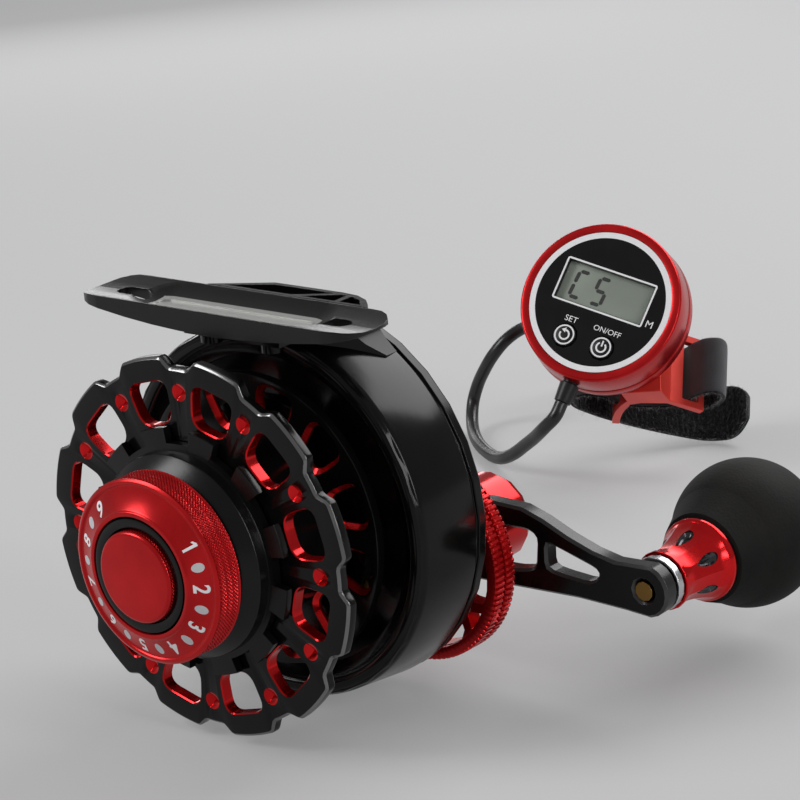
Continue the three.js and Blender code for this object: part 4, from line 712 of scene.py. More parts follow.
class ReelStudio(bpy.types.PropertyGroup):
    """Light and backdrop of the studio."""
    backdrop: FloatVectorProperty(name="Backdrop", description="Colour of the floor and backdrop", subtype="COLOR",
                                  default=(0.5, 0.5, 0.505))
    key_power: FloatProperty(name="Key", description="Power of the key light, in watts", default=1.7, min=0.0)
    ambient: FloatProperty(name="Ambient", description="Strength of the light from all round",
                           default=0.3, min=0.0)


def sizes():
    return bpy.context.scene.reel_sizes


# The reel's pieces

class REEL_OT_flanges(bpy.types.Operator):
    """Front flange with humps, chamfered red windows and countersinks, and the rear flange with its windows"""
    bl_idname = "reel.flanges"
    bl_label = "Spool flanges"
    bl_options = {"REGISTER", "UNDO"}

    FRONT_THICK, FRONT_BORE, FRONT_RADIUS = 2.4, 15.7, 33.98
    REAR_FACES, REAR_BORE, REAR_RADIUS = (16.3, 18.1), 9.3, 26.6
    FRONT_WINDOWS, REAR_WINDOWS = (22.3, 29.7, 9.5, 1.1), (17.2, 24.8, 7.6, 1.6)
    NOTCH_DEPTH, NOTCH_INSIDE, NOTCH_FADE = 1.8, 30.4, 3.0  # the notches between the humps of the rim
    # Cut edges outside this radius take the bare metal, lightened as a painted highlight
    BARE_FROM = 30.6  # radius outside which cut edges are bare
    SINK_PLACE = 28.0  # radius at which the countersinks lie
    SINK = [(0, 0.95), (1.0, 0.34), (1.55, 0), (1.95, -0.3), (0, -0.3)]

    def execute(self, context):
        self.front()
        (front, rear), bore, radius = self.REAR_FACES, self.REAR_BORE, self.REAR_RADIUS
        profile = [(bore, front), (radius, front), (radius, rear), (bore, rear)]
        blank = turned("spool_flange_rear_piece", profile, 256)
        levels = [(front - 0.3, 1.1), (front + 0.8, 0), (rear - 0.4, 0), (rear + 0.3, 0.7)]
        self.cut("spool_flange_rear", blank, windows(levels, *self.REAR_WINDOWS))
        return {"FINISHED"}

    def cut(self, node, blank, tools):
        """Cuts windows with red walls in a black flange. Its outer rim and notches are bare metal, lightened to
        stand for their edge highlights as well: a painted highlight.
        """
        # The cut red of the window walls is lightened against their shade: painted light
        black, red, bare = (metal("black", "black_anodised_turned", SPOOL_LINE),
                            metal("red_cut", "red_anodised_cut"), metal("bare", "bare_edge_and_painted_highlight"))
        blank.materials.append(black)
        mesh = carved(blank, joined("flange_tool", tools), red)
        aside = np.abs(of_faces(mesh, "normal")[:, 1])
        middle, slots = of_faces(mesh, "center") / MM - SEAT, of_faces(mesh, "material_index", 1, np.int32)
        slanted, outside = (aside > 0.25) & (aside < 0.97), np.hypot(middle[:, 0], middle[:, 2]) > self.BARE_FROM
        rim = slanted & outside
        mesh.polygons.foreach_set("material_index", np.where(rim & (slots == 0), 2, slots).astype(np.int32))
        dressed(node, mesh, [black, red, bare] if rim.any() else [black, red], degrees=30)

    def front(self):
        """Front flange, turned with humps round its rim, and cut with windows and countersinks."""
        thick, bore, radius = self.FRONT_THICK, self.FRONT_BORE, self.FRONT_RADIUS
        chamfer = sizes().window_chamfer

        def humps(a, r, y):
            """r less a notch at every twelfth of a turn, faded in over the outer 3 mm."""
            fade = np.clip((r - self.NOTCH_INSIDE) / self.NOTCH_FADE, 0, 1)
            return r - self.NOTCH_DEPTH * notch(a, WINDOW_COUNT, 0.5, 0.25, 0.15) * fade

        def point(a, r, y):
            """Radius of a triangle inside the circle at the bottom of a sink, and of the circle above."""
            return np.where((r > 0.1) & (r < 1.2), polygon_share(a, r, 3) * 1.3, r)

        profile = [(bore, 0), (radius - 0.48, 0), (radius, 0.45), (radius, thick - 0.45), (radius - 0.48, thick),
                   (bore, thick)]
        blank = turned("spool_flange_front_piece", profile, 720, humps, edge=0.12)
        levels = [(-0.4, chamfer + 0.4), (chamfer, 0), (thick - chamfer, 0), (thick + 0.4, chamfer + 0.4)]
        places = [(self.SINK_PLACE * math.cos(a), 0, self.SINK_PLACE * math.sin(a)) for a in DIP_ANGLES]
        sinks = [turned(f"sink_{i}", self.SINK, 24, point, place, edge=0) for i, place in enumerate(places)]
        self.cut("spool_flange_front", blank, windows(levels, *self.FRONT_WINDOWS) + sinks)


class REEL_OT_cover(bpy.types.Operator):
    """Stepped cover with its castle ring, and the arbor behind it"""
    bl_idname = "reel.cover"
    bl_label = "Spool cover and arbor"
    bl_options = {"REGISTER", "UNDO"}

    GAP = (19.4, 24.0, math.radians(7.5))  # inner and outer radius of the castle ring's gaps, and half their angle

    def execute(self, context):
        satin = metal("satin", "satin_black_turned", SPOOL_LINE)
        blank = turned("drum_cover_piece", [(2.8, -6.3), (15.5, -6.3), (18.2, -4.0), (18.2, -1.8), (22.1, -1.8),
                                            (22.1, -0.3), (16.9, -0.3), (16.9, -2.7), (14.2, -5.0), (2.8, -5.0)],
                       288, edge=0.22)
        inner, outer, half = self.GAP
        gaps = [prism(f"gap_{i}", arc_outline(inner, outer, 12, a - half, a + half), [(-3.4, 0), (1.0, 0)])
                for i, a in enumerate(DIP_ANGLES)]
        blank.materials.append(satin)
        dressed("drum_cover", carved(blank, joined("cover_tool", gaps)), satin, degrees=30)
        finished_copies(("spool_arbor", metal("black", "black_anodised_turned", SPOOL_LINE), sizes().edge))
        return {"FINISHED"}


class REEL_OT_dial(bpy.types.Operator):
    """Dial with its diamond knurl and number face, the black ring and the knurled centre cap"""
    bl_idname = "reel.dial"
    bl_label = "Dial and cap"
    bl_options = {"REGISTER", "UNDO"}

    PITCH = 0.62  # of the knurl's helices along the axis
    RUN_OUT = 0.3  # length over which the knurl fades in and out
    DIAL_RADIUS, DIAL_KNURL = 16.4, (-11.7, -6.7)  # radius, and front and rear end of its knurl
    CAP_RADIUS, CAP_KNURL, CAP_KNURLS, CAP_DEPTH = 8.1, (-14.6, -13.0), 84, 0.2

    def knurled(self, node, profile, finish, count, depth, radius, low, high):
        """Turned piece with a band of diamond knurl from low to high. The knurl takes off the radius:
        depth (1 - min(tri(u), tri(v))), where u and v are the two crossing helices count a / 2 pi + y / pitch and
        count a / 2 pi - y / pitch, and tri is a triangle wave from 0 to 1."""
        def radius_at(a, r, y):
            turns = count * a / TAU
            tri_u, tri_v = (1 - np.abs(2 * np.mod(turns + way * y / self.PITCH, 1) - 1) for way in (1, -1))
            fade = np.clip((y - low) / self.RUN_OUT, 0, 1) * np.clip((high - y) / self.RUN_OUT, 0, 1)
            return r - depth * (1 - np.minimum(tri_u, tri_v)) * fade * (r > radius - 0.05)

        dressed(node, turned(node + "_piece", profile, count * 6, radius_at, edge=0), finish, degrees=40)

    def execute(self, context):
        radius = self.DIAL_RADIUS
        band = [(radius, y) for y in np.linspace(-6.75, -11.65, 52)]
        face = softened([(radius, -11.8), (15.85, -12.15), (15.5, -12.15), (15.2, -11.85), (11.4, -13.65),
                         (11.2, -14.0), (10.4, -14.0), (10.4, -8.8), (2.8, -8.8), (2.8, -6.6), (16.2, -6.6)], 0.16)
        dial_red, cap_red = (metal("red", f"red_anodised_{part}", SPOOL_LINE) for part in ("dial", "cap"))
        self.knurled("dial_knob", np.concatenate([band, face]), dial_red,
                     sizes().knurl_count, sizes().knurl_depth, radius, *self.DIAL_KNURL)
        mesh = turned("dial_ring_piece", [(8.4, -14.0), (10.1, -14.0), (10.1, -9.1), (8.4, -9.1)], 160, edge=0.3)
        dressed("dial_ring", mesh, metal("satin", "satin_black_ring", SPOOL_LINE))
        radius = self.CAP_RADIUS
        side = [(radius, y) for y in np.linspace(-14.55, -13.3, 14)][::-1]
        top = softened([(radius, -14.62), (7.95, -14.9), (7.6, -15.1), (0, -15.1)], 0.15, closed=False)
        inside = [(0, -12.7), (2.8, -12.7), (2.8, -9.1), (radius, -9.1)]
        self.knurled("centre_cap", np.concatenate([side, top, inside]), cap_red,
                     self.CAP_KNURLS, self.CAP_DEPTH, radius, *self.CAP_KNURL)
        return {"FINISHED"}


class REEL_OT_dial_marks(bpy.types.Operator):
    """White digits 1 to 9 on the dial's face with an oval between each two"""
    bl_idname = "reel.dial_marks"
    bl_label = "Dial digits"
    bl_options = {"REGISTER", "UNDO"}

    DIGITS = 9
    FIRST, STEP = math.radians(31.0), math.radians(32.5)
    RADIUS = 13.3  # round which the digits stand
    OVAL = (0.8, 1.2)  # half its width and half its height
    ONE = np.array([(0.0, -0.5), (0.17, -0.5), (0.17, 0.5), (0.02, 0.5), (-0.17, 0.33), (-0.17, 0.19), (0.0, 0.3)])

    def cone(self, angle):
        """Carries (right, depth, up) on to the dial's cone round the digit's angle: radius 13.3 + 0.9 up,
        angle less right / radius, and the depth of the cone there."""
        def to(points):
            right, depth, up = np.asarray(points, float).T
            r = self.RADIUS + 0.905 * up
            a = angle - right / self.RADIUS
            y = -11.85 - (15.2 - r) * (1.8 / 3.8) + depth - 0.02
            return reel_point(np.stack([r * np.cos(a), y, r * np.sin(a)], -1))
        return to

    def execute(self, context):
        white, grey = white_print("dial_print"), white_print("oval_print", (0.55, 0.55, 0.57))
        high, thick = sizes().digit_height, sizes().print_height
        levels = [(-thick / 2, 0), (thick / 2, 0)]
        oval = ring_outline(1.0, 28) * self.OVAL
        for i in range(self.DIGITS):
            angle = self.FIRST - i * self.STEP
            if i:
                lettering(f"dial_digit_{i + 1}", str(i + 1), high, (0, 0), self.cone(angle), "dial", white, 0.82,
                          thick, 0.03)
            else:
                mesh = prism("dial_digit_1", high * self.ONE, levels, self.cone(angle))
                new_piece(mesh.name, mesh, white, "dial")
            if i < self.DIGITS - 1:
                mesh = prism(f"dial_oval_{i + 1}", oval, levels, self.cone(angle - self.STEP / 2))
                new_piece(mesh.name, mesh, grey, "dial")
        return {"FINISHED"}


class REEL_OT_frame(bpy.types.Operator):
    """Foot, frame cup with its stem, back plate, screws and the parts inside them"""
    bl_idname = "reel.frame"
    bl_label = "Foot and frame"
    bl_options = {"REGISTER", "UNDO"}

    def cup(self, spun, bare, edge):
        """Turned cup with its inner ring and its rounded lip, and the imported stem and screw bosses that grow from
        it. The lip runs through (32.2 + 1.8 t, 19 + 1.25 |t| ** 2.6) for t from -1 to 1."""
        lip = np.linspace(-1, 1, 21)
        lip = np.stack([32.2 + 1.8 * lip, 19.0 + 1.25 * np.abs(lip) ** 2.6], -1)
        shell = softened([(28.6, 21.3), (28.6, 22.5), (21, 22.5), (21, 20.2), (17, 20.2), (17, 22.5), (8.3, 22.5),
                          (8.3, 25), (32.9, 25), (32.9, 32.4), (35.3, 32.4), (34.07, 21)], 0.3, closed=False)
        mesh = turned("frame_cup_piece", np.concatenate([shell, lip[::-1]]), 288, edge=0)
        dressed("frame_cup", carved(mesh, rod("bush_tool", 4.4, 21.7, 26, 64, SHAFT)), spun, degrees=40)
        blank = [(0, 18.9), (33.0, 18.9), (34.02, 20.2), (35.32, 32.4), (35.32, 33), (0, 33)]
        stem = carved(merged("frame_cup"), turned("stem_tool", blank, 288, edge=0))
        dressed("frame_cup", stem, [spun, bare], edge, 33, "frame_stem_piece")
        bosses = carved(merged("frame_cup"), rod("boss_tool", 32.85, 24.9, 33), None, "INTERSECT")
        dressed("frame_cup", bosses, spun, 0, 33, "frame_bosses_piece")

    def execute(self, context):
        edge = sizes().edge
        # The bare edge metal on rounded edges is lightened to stand for edge highlights: a painted highlight
        spun, bare = metal("black", "black_anodised_frame", SPOOL_LINE), metal("bare", "bare_edge_and_painted_highlight")
        steel, bearing = metal("steel", "steel_hardware"), metal("steel", "steel_bearing", SPOOL_LINE)
        side, brass = (metal(kind, kind + "_shaft_side", SHAFT_LINE) for kind in ("steel", "brass"))
        finished_copies(("foot", [foot_black("black_foot"), bare], 1.2 * edge))
        self.cup(spun, bare, edge)
        finished_copies(
            ("back_plate", spun, 1.6 * edge),
            ("plate_screw_1 plate_screw_2 plate_screw_3 axle_nut spool_axle handle_shaft", steel, 0.5 * edge, 40),
            ("foot_screw_left foot_screw_right", metal("black", "black_anodised"), 0.5 * edge, 40),
            ("bearing_front bearing_rear", bearing, edge, 40),
            ("oneway_bearing", side, edge, 40),
            ("drag_washer_steel", side, 0, 40),
            ("drag_washer_carbon", washer_felt("carbon_weave"), 0, 40),
            ("shaft_bush", brass, 0.5 * edge, 40),
            ("pinion", bearing, 0, 25),
            ("main_gear", brass, 0, 25))
        return {"FINISHED"}


class REEL_OT_handle(bpy.types.Operator):
    """Star wheel, spacer, arm with its polished chamfer and painted reflection, cap nut, crank pin and washer"""
    bl_idname = "reel.handle"
    bl_label = "Star wheel and handle"
    bl_options = {"REGISTER", "UNDO"}

    RIBS, RIB_STEPS, RIB_DEPTH = 108, 10, 0.62
    RIM = 19.1  # radius outside which the ribs are cut

    def execute(self, context):
        edge = sizes().edge
        red = metal("red", "red_anodised_star", SHAFT_LINE)
        wheel_tool = rod("wheel_tool", 17.45, 38.0, 43.6, centre=SHAFT)
        dressed("star_wheel", carved(merged("star_wheel"), wheel_tool, None, "INTERSECT"), red, 0.8 * edge, 30)

        def ribs(a, r, y):
            """r less a groove between each two of the ribs, where the surface is outside the rim's radius."""
            return r - self.RIB_DEPTH * notch(a, self.RIBS, 0, 0.26, 0.14) * (r > self.RIM)

        profile = [(17.27, 38.1), (19.15, 38.1), (19.5, 38.4), (19.5, 40.3), (19.2, 40.55), (18.3, 40.55),
                   (18.3, 41.05), (19.2, 41.05), (19.5, 41.3), (19.5, 43.2), (19.15, 43.5), (17.27, 43.5)]
        mesh = turned("star_wheel_rings", profile, self.RIBS * self.RIB_STEPS, ribs, SHAFT, edge=0.12)
        dressed("star_wheel", mesh, red, degrees=40, name="star_wheel_rings")
        finished_copies(
            ("arm_spacer", metal("steel", "steel_shaft_side", SHAFT_LINE), edge, 40),
            ("handle_arm", edged_black("black_arm_polish_and_painted_reflection"), 0.8 * edge),
            ("handle_nut", metal("red_cut", "red_anodised_nut"), 1.5 * edge),
            ("handle_pin", metal("brass", "brass_pin", CRANK_LINE), 0.6 * edge, 40),
            ("arm_washer", metal("steel", "steel_pin", CRANK_LINE), edge, 40))
        return {"FINISHED"}


class REEL_OT_grip(bpy.types.Operator):
    """Ball grip: red ring, faceted bell neck with its drop hollows, foam ball and the bush inside it"""
    bl_idname = "reel.grip"
    bl_label = "Ball grip"
    bl_options = {"REGISTER", "UNDO"}

    DROPS, FACETS = 6, 12
    DROP_TURN = math.radians(-4.2)  # of the drops against the flats
    BALL_RADIUS, BALL_BORE = 13.5, 3.6

    def execute(self, context):
        red = metal("red_cut", "red_anodised_grip")
        self.neck(red)
        finished_copies(("knob_ring", red, sizes().edge, 40),
                        ("grip_bush", metal("brass", "brass_pin", CRANK_LINE), 0, 40))
        self.ball()
        return {"FINISHED"}

    def ends(self, node):
        """Front and rear end of a piece, in spool millimetres."""
        low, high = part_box(node)
        return low[1] / MM - SEAT[1], high[1] / MM - SEAT[1]

    def neck(self, red):
        """Bell of radius 4.9 + 2.3 (u / 4 + 3 u ** 2.1 / 4) for u from 0 to 1 along it, cut to flats, with drops
        of outline (1.3 sin t sin(t / 2), -2.25 cos t) hollowed out of its side."""
        front, rear = self.ends("knob_neck")
        length = rear - front

        def flats(a, r, y):
            """Radius of a polygon of 12 sides inside the circle, mixed in between the neck's two ends."""
            into = (y - front) / length
            share = np.clip(into / 0.16, 0, 1) * np.clip((0.86 - into) / 0.1, 0, 1) * (r > 4.0)
            return r + (polygon_share(a, r, self.FACETS) - r) * share

        rows = np.linspace(0, 1, 24)
        bell = 4.9 + 2.3 * (0.25 * rows + 0.75 * rows ** 2.1)
        side = np.stack([bell, front + 0.1 + rows * (length - 1.4)], -1)
        lip = softened([side[-1], (7.66, front + length - 0.85), (7.66, front + length), (2.4, front + length),
                        (2.4, front)], 0.25, closed=False)
        line = np.concatenate([[(4.75, front)], side[:-1], lip])
        mesh = turned("knob_neck_piece", line, 288, flats, CRANK, edge=0)
        mesh.materials.append(red)
        t = np.linspace(0, TAU, 40, endpoint=False)
        outline = np.stack([1.3 * np.sin(t) * np.sin(t / 2), -2.25 * np.cos(t)], -1)
        levels = [(-2.5, 0.15), (0.1, 0.1), (0.55, -0.25), (0.75, -0.55)]
        angles = [(i + 0.5) * TAU / self.DROPS + self.DROP_TURN for i in range(self.DROPS)]
        drops = [prism(f"drop_{i}", outline, levels, self.beside(a, front + 0.5 * length))
                 for i, a in enumerate(angles)]
        hollow = metal("dark_steel", "dark_drop")
        dressed("knob_neck", carved(mesh, joined("neck_tool", drops), hollow), [red, hollow], degrees=16)

    def beside(self, a, middle):
        """Carries (along the round, inwards, along the axis) on to the neck's side at an angle."""
        def to(points):
            right, depth, up = np.asarray(points, float).T
            r = 5.55 + 0.24 * up - depth
            x, z = r * np.cos(a) - right * np.sin(a), r * np.sin(a) + right * np.cos(a)
            return reel_point(np.stack([x + CRANK[0], middle + up, z + CRANK[2]], -1))
        return to

    def ball(self):
        """Foam ball with a flat collar: (R sin t, end - R - R cos t) from the collar round to its rear."""
        radius, bore = self.BALL_RADIUS, self.BALL_BORE
        start, end = self.ends("grip_ball")
        t = np.linspace(math.asin(0.8), math.pi, 60)
        round_side = np.stack([radius * np.sin(t), end - radius - radius * np.cos(t)], -1)
        round_side[-1, 0] = 0
        line = np.concatenate([[(bore, start), (7.9, start), (8.3, start + 0.15)], round_side,
                               [(0, start + 21), (bore, start + 21)]])
        mesh = turned("grip_ball_piece", line, 192, None, CRANK, edge=0)
        dressed("grip_ball", mesh, closed_foam("foam_grip"), degrees=45)


class REEL_OT_counter(bpy.types.Operator):
    """Counter head: case, face, window, display, buttons, lid, gland and the parts inside"""
    bl_idname = "reel.counter"
    bl_label = "Counter head"
    bl_options = {"REGISTER", "UNDO"}

    # Profiles (radius, depth): the case with a line round it, the lid, and a button with its collar
    CASE = [(15.24, 0.02), (16.8, 0.02), (17.12, 0.34), (17.46, 6.2), (17.18, 6.25), (17.18, 6.62), (17.49, 6.67),
            (17.6, 8.7), (15.5, 8.7), (15.5, 3.05), (14.2, 3.05), (14.2, 1.75), (15.24, 1.75)]
    LID = [(0, 7.7), (15.2, 7.7), (15.2, 9.0), (17.6, 9.0), (17.1, 10.3), (0, 10.3)]
    BUTTON = [(0, -0.35), (2.4, -0.35), (2.4, 1.75), (3.3, 1.75), (3.3, 2.25), (0, 2.25)]

    def execute(self, context):
        red = metal("red", "red_anodised_case")
        for node, profile, edge in (("counter_housing", self.CASE, 0.12), ("counter_back", self.LID, 0.3)):
            dressed(node, turned(node + "_piece", profile, 256, to=head_point, edge=edge), red)
        face = moulded_plastic("face_black", (0.003, 0.003, 0.0035), 0.2, 0.000002)
        finished_copies(("counter_face", face, 0.05, 40), ("lcd_window", clear_pane("clear_pane"), 0.1, 40),
                        ("lcd_module", display_grey("display_grey"), 0.05, 40))
        black = moulded_plastic("button_black", (0.010, 0.010, 0.011), 0.34, 0.000004)
        for side, node, _ in BUTTONS:
            centre = (BUTTON_PLACE[0] * side, 0, BUTTON_PLACE[1])
            dressed(node, turned(node + "_piece", self.BUTTON, 72, None, centre, head_point, 0.25), black)
        steel = metal("steel", "steel_hardware")
        gland = moulded_plastic("gland_black", (0.010, 0.010, 0.010), 0.42, 0.00001)
        finished_copies(("switch_set switch_power", steel, 0.1, 40),
                        ("counter_board", circuit_board("circuit_board"), 0.05, 40),
                        ("battery_coin", steel, 0.2, 40), ("cord_gland", gland, 0.15, 40))
        return {"FINISHED"}


class REEL_OT_counter_print(bpy.types.Operator):
    """White ring, display frame, labels and button signs, and the dark segments on the display"""
    bl_idname = "reel.counter_print"
    bl_label = "Counter print"
    bl_options = {"REGISTER", "UNDO"}

    SEGMENTS = {"C": "adef", "5": "acdfg", "0": "abcdef", "8": "abcdefg"}
    FACE, BUTTON_TOP, MODULE = 0.15, -0.35, 1.65  # depths of the face plate, the buttons and the display module
    SUNK = 0.001  # ink that lies in the surface below it
    DIGIT_WIDE, DIGIT_HIGH, BAR = 2.3, 5.7, 0.8
    DIGIT_PLACE, DIGIT_PITCH, SLANT = (-7.5, -0.5), 4.85, 0.06
    LABELS = {"label_set": ("SET", 1.25, (-4.3, -5.35)), "label_power": ("ON/OFF", 1.15, (4.0, -5.35)),
              "label_unit": ("M", 1.5, (11.8, -1.1))}  # text, height and place
    RING_RADIUS, RING_HALF = 14.55, 0.62  # middle of the white ring, and half its width
    FRAME = [(-9.95, -1.92), (9.95, -1.92), (9.95, 6.78), (-9.95, 6.78)]
    # Signs on the buttons: where the arc starts and ends, and the mark
    ARCS = {"set_button": (-200, 90), "power_button": (-235, 55)}
    MARKS = {"set_button": [(-0.95, 1.0), (-0.05, 1.55), (-0.05, 0.45)],
             "power_button": [(-0.17, 1.45), (0.17, 1.45), (0.17, 0.2), (-0.17, 0.2)]}
    SIGN_RADIUS, SIGN_HALF = 2.0, 0.16
    ARC_RADII = (1.18, 0.82)

    def bars(self, x0, z0):
        """The seven pointed bars of a digit, by letter, whose lower left corner is at x0, z0."""
        wide, high = self.DIGIT_WIDE, self.DIGIT_HIGH
        half, gap, cut = 0.5 * self.BAR, 0.16 * self.BAR, 0.4 * self.BAR
        shapes = {}
        for key, z in (("d", z0), ("g", z0 + high / 2), ("a", z0 + high)):
            left, right = x0 + gap, x0 + wide - gap
            shapes[key] = [(left, z), (left + cut, z - half), (right - cut, z - half),
                           (right, z), (right - cut, z + half), (left + cut, z + half)]
        for key, x, low in (("e", x0, 0), ("f", x0, high / 2), ("c", x0 + wide, 0), ("b", x0 + wide, high / 2)):
            bottom, top = z0 + low + gap, z0 + low + high / 2 - gap
            shapes[key] = [(x, bottom), (x + half, bottom + cut), (x + half, top - cut),
                           (x, top), (x - half, top - cut), (x - half, bottom + cut)]
        return shapes

    def execute(self, context):
        white, ink = white_print("counter_print_white"), sizes().print_height
        front, rear = self.FACE - ink, self.FACE - self.SUNK
        ring, half = ring_outline(self.RING_RADIUS, 192), self.RING_HALF
        window = softened(self.FRAME, 0.12, 7, share=0.48)
        for mesh in (outline_band("counter_ring_print", ring, -half, half, front, rear),
                     outline_band("display_frame_print", window, 0.02, 0.4, front, rear)):
            new_piece(mesh.name, mesh, white, "frame")

        def raised(points):
            return head_point(points + np.array([0, front + ink / 2, 0]))

        for name, label in self.LABELS.items():
            lettering(name, *label, raised, "frame", white, 1.05, ink)
        self.signs(white, ink)
        self.digits(ink)
        return {"FINISHED"}

    def signs(self, white, ink):
        """Ring-shaped signs on the two buttons: a turning arrow, and an open ring with a bar."""
        front, rear = self.BUTTON_TOP - ink, self.BUTTON_TOP + self.SUNK
        levels, half = [(front, 0), (rear, 0)], self.SIGN_HALF
        for side, _, body in BUTTONS:
            centre = (BUTTON_PLACE[0] * side, BUTTON_PLACE[1])
            ring = ring_outline(self.SIGN_RADIUS, 64, centre)
            arc = arc_outline(*self.ARC_RADII, 28, *np.radians(self.ARCS[body]), centre)
            mark = np.array(self.MARKS[body]) + centre
            for mesh in (outline_band(f"{body}_ring", ring, -half, half, front, rear),
                         prism(f"{body}_arc", arc, levels, head_point),
                         prism(f"{body}_mark", mark, levels, head_point)):
                new_piece(mesh.name, mesh, white, body)

    def digits(self, ink):
        """Dark bars on the display, one digit to each place, slanted a little."""
        dark = moulded_plastic("display_dark", (0.006, 0.007, 0.006), 0.6, 0.000001)
        levels = [(self.MODULE - ink, 0), (self.MODULE - self.SUNK, 0)]
        for i, letter in enumerate(sizes().display_text):
            shapes = self.bars(self.DIGIT_PLACE[0] + self.DIGIT_PITCH * i, self.DIGIT_PLACE[1])
            for key in self.SEGMENTS.get(letter, ""):
                slanted = [(x + self.SLANT * z, z) for x, z in shapes[key]]
                bar = prism(f"digit_{i + 1}_bar_{key}", slanted, levels, head_point)
                new_piece(bar.name, bar, dark, "frame")


class REEL_OT_bracket(bpy.types.Operator):
    """Saddle bracket behind the counter, in a red lightened all over by a painted highlight"""
    bl_idname = "reel.bracket"
    bl_label = "Saddle bracket"
    bl_options = {"REGISTER", "UNDO"}

    def execute(self, context):
        # The bracket's lightened red is a painted highlight
        finished_copies(("saddle_bracket", metal("salmon", "red_anodised_painted_highlight"), sizes().edge))
        return {"FINISHED"}


def spline(route, count):
    """Catmull-Rom curve through a route's points with centripetal spacing, at even steps of its length."""
    ends = np.vstack([2 * route[0] - route[1], route, 2 * route[-1] - route[-2]])
    dense = []
    for i in range(len(route) - 1):
        p0, p1, p2, p3 = ends[i:i + 4]
        t1, t2, t3 = np.cumsum([np.linalg.norm(b - a) ** 0.5 for a, b in ((p0, p1), (p1, p2), (p2, p3))])
        t = np.linspace(t1, t2, 24, endpoint=False)[:, None]
        a1 = (t1 - t) / t1 * p0 + t / t1 * p1
        a2 = (t2 - t) / (t2 - t1) * p1 + (t - t1) / (t2 - t1) * p2
        a3 = (t3 - t) / (t3 - t2) * p2 + (t - t2) / (t3 - t2) * p3
        b1 = (t2 - t) / t2 * a1 + t / t2 * a2
        b2 = (t3 - t) / (t3 - t1) * a2 + (t - t1) / (t3 - t1) * a3
        dense.append((t2 - t) / (t2 - t1) * b1 + (t - t1) / (t2 - t1) * b2)
    dense = np.concatenate(dense + [route[-1:]])
    way = np.concatenate([[0], np.cumsum(np.linalg.norm(np.diff(dense, axis=0), axis=1))])
    even = np.linspace(0, way[-1], count)
    return np.stack([np.interp(even, way, dense[:, k]) for k in range(route.shape[1])], -1), way[-1]


def waves(shape, rng, count, longest):
    """Even noise from 0 to 1 over a grid: a sum of sines of random direction, phase and length in grid steps."""
    i, j = np.meshgrid(np.arange(shape[0]), np.arange(shape[1]), indexing="ij")
    total = np.zeros(shape)
    for _ in range(count):
        angle, length = rng.uniform(0, TAU), longest * rng.uniform(0.25, 1.0)
        way = (i * math.cos(angle) + j * math.sin(angle)) * TAU / length
        total += np.sin(way + rng.uniform(0, TAU))
    return (total - total.min()) / (total.max() - total.min())


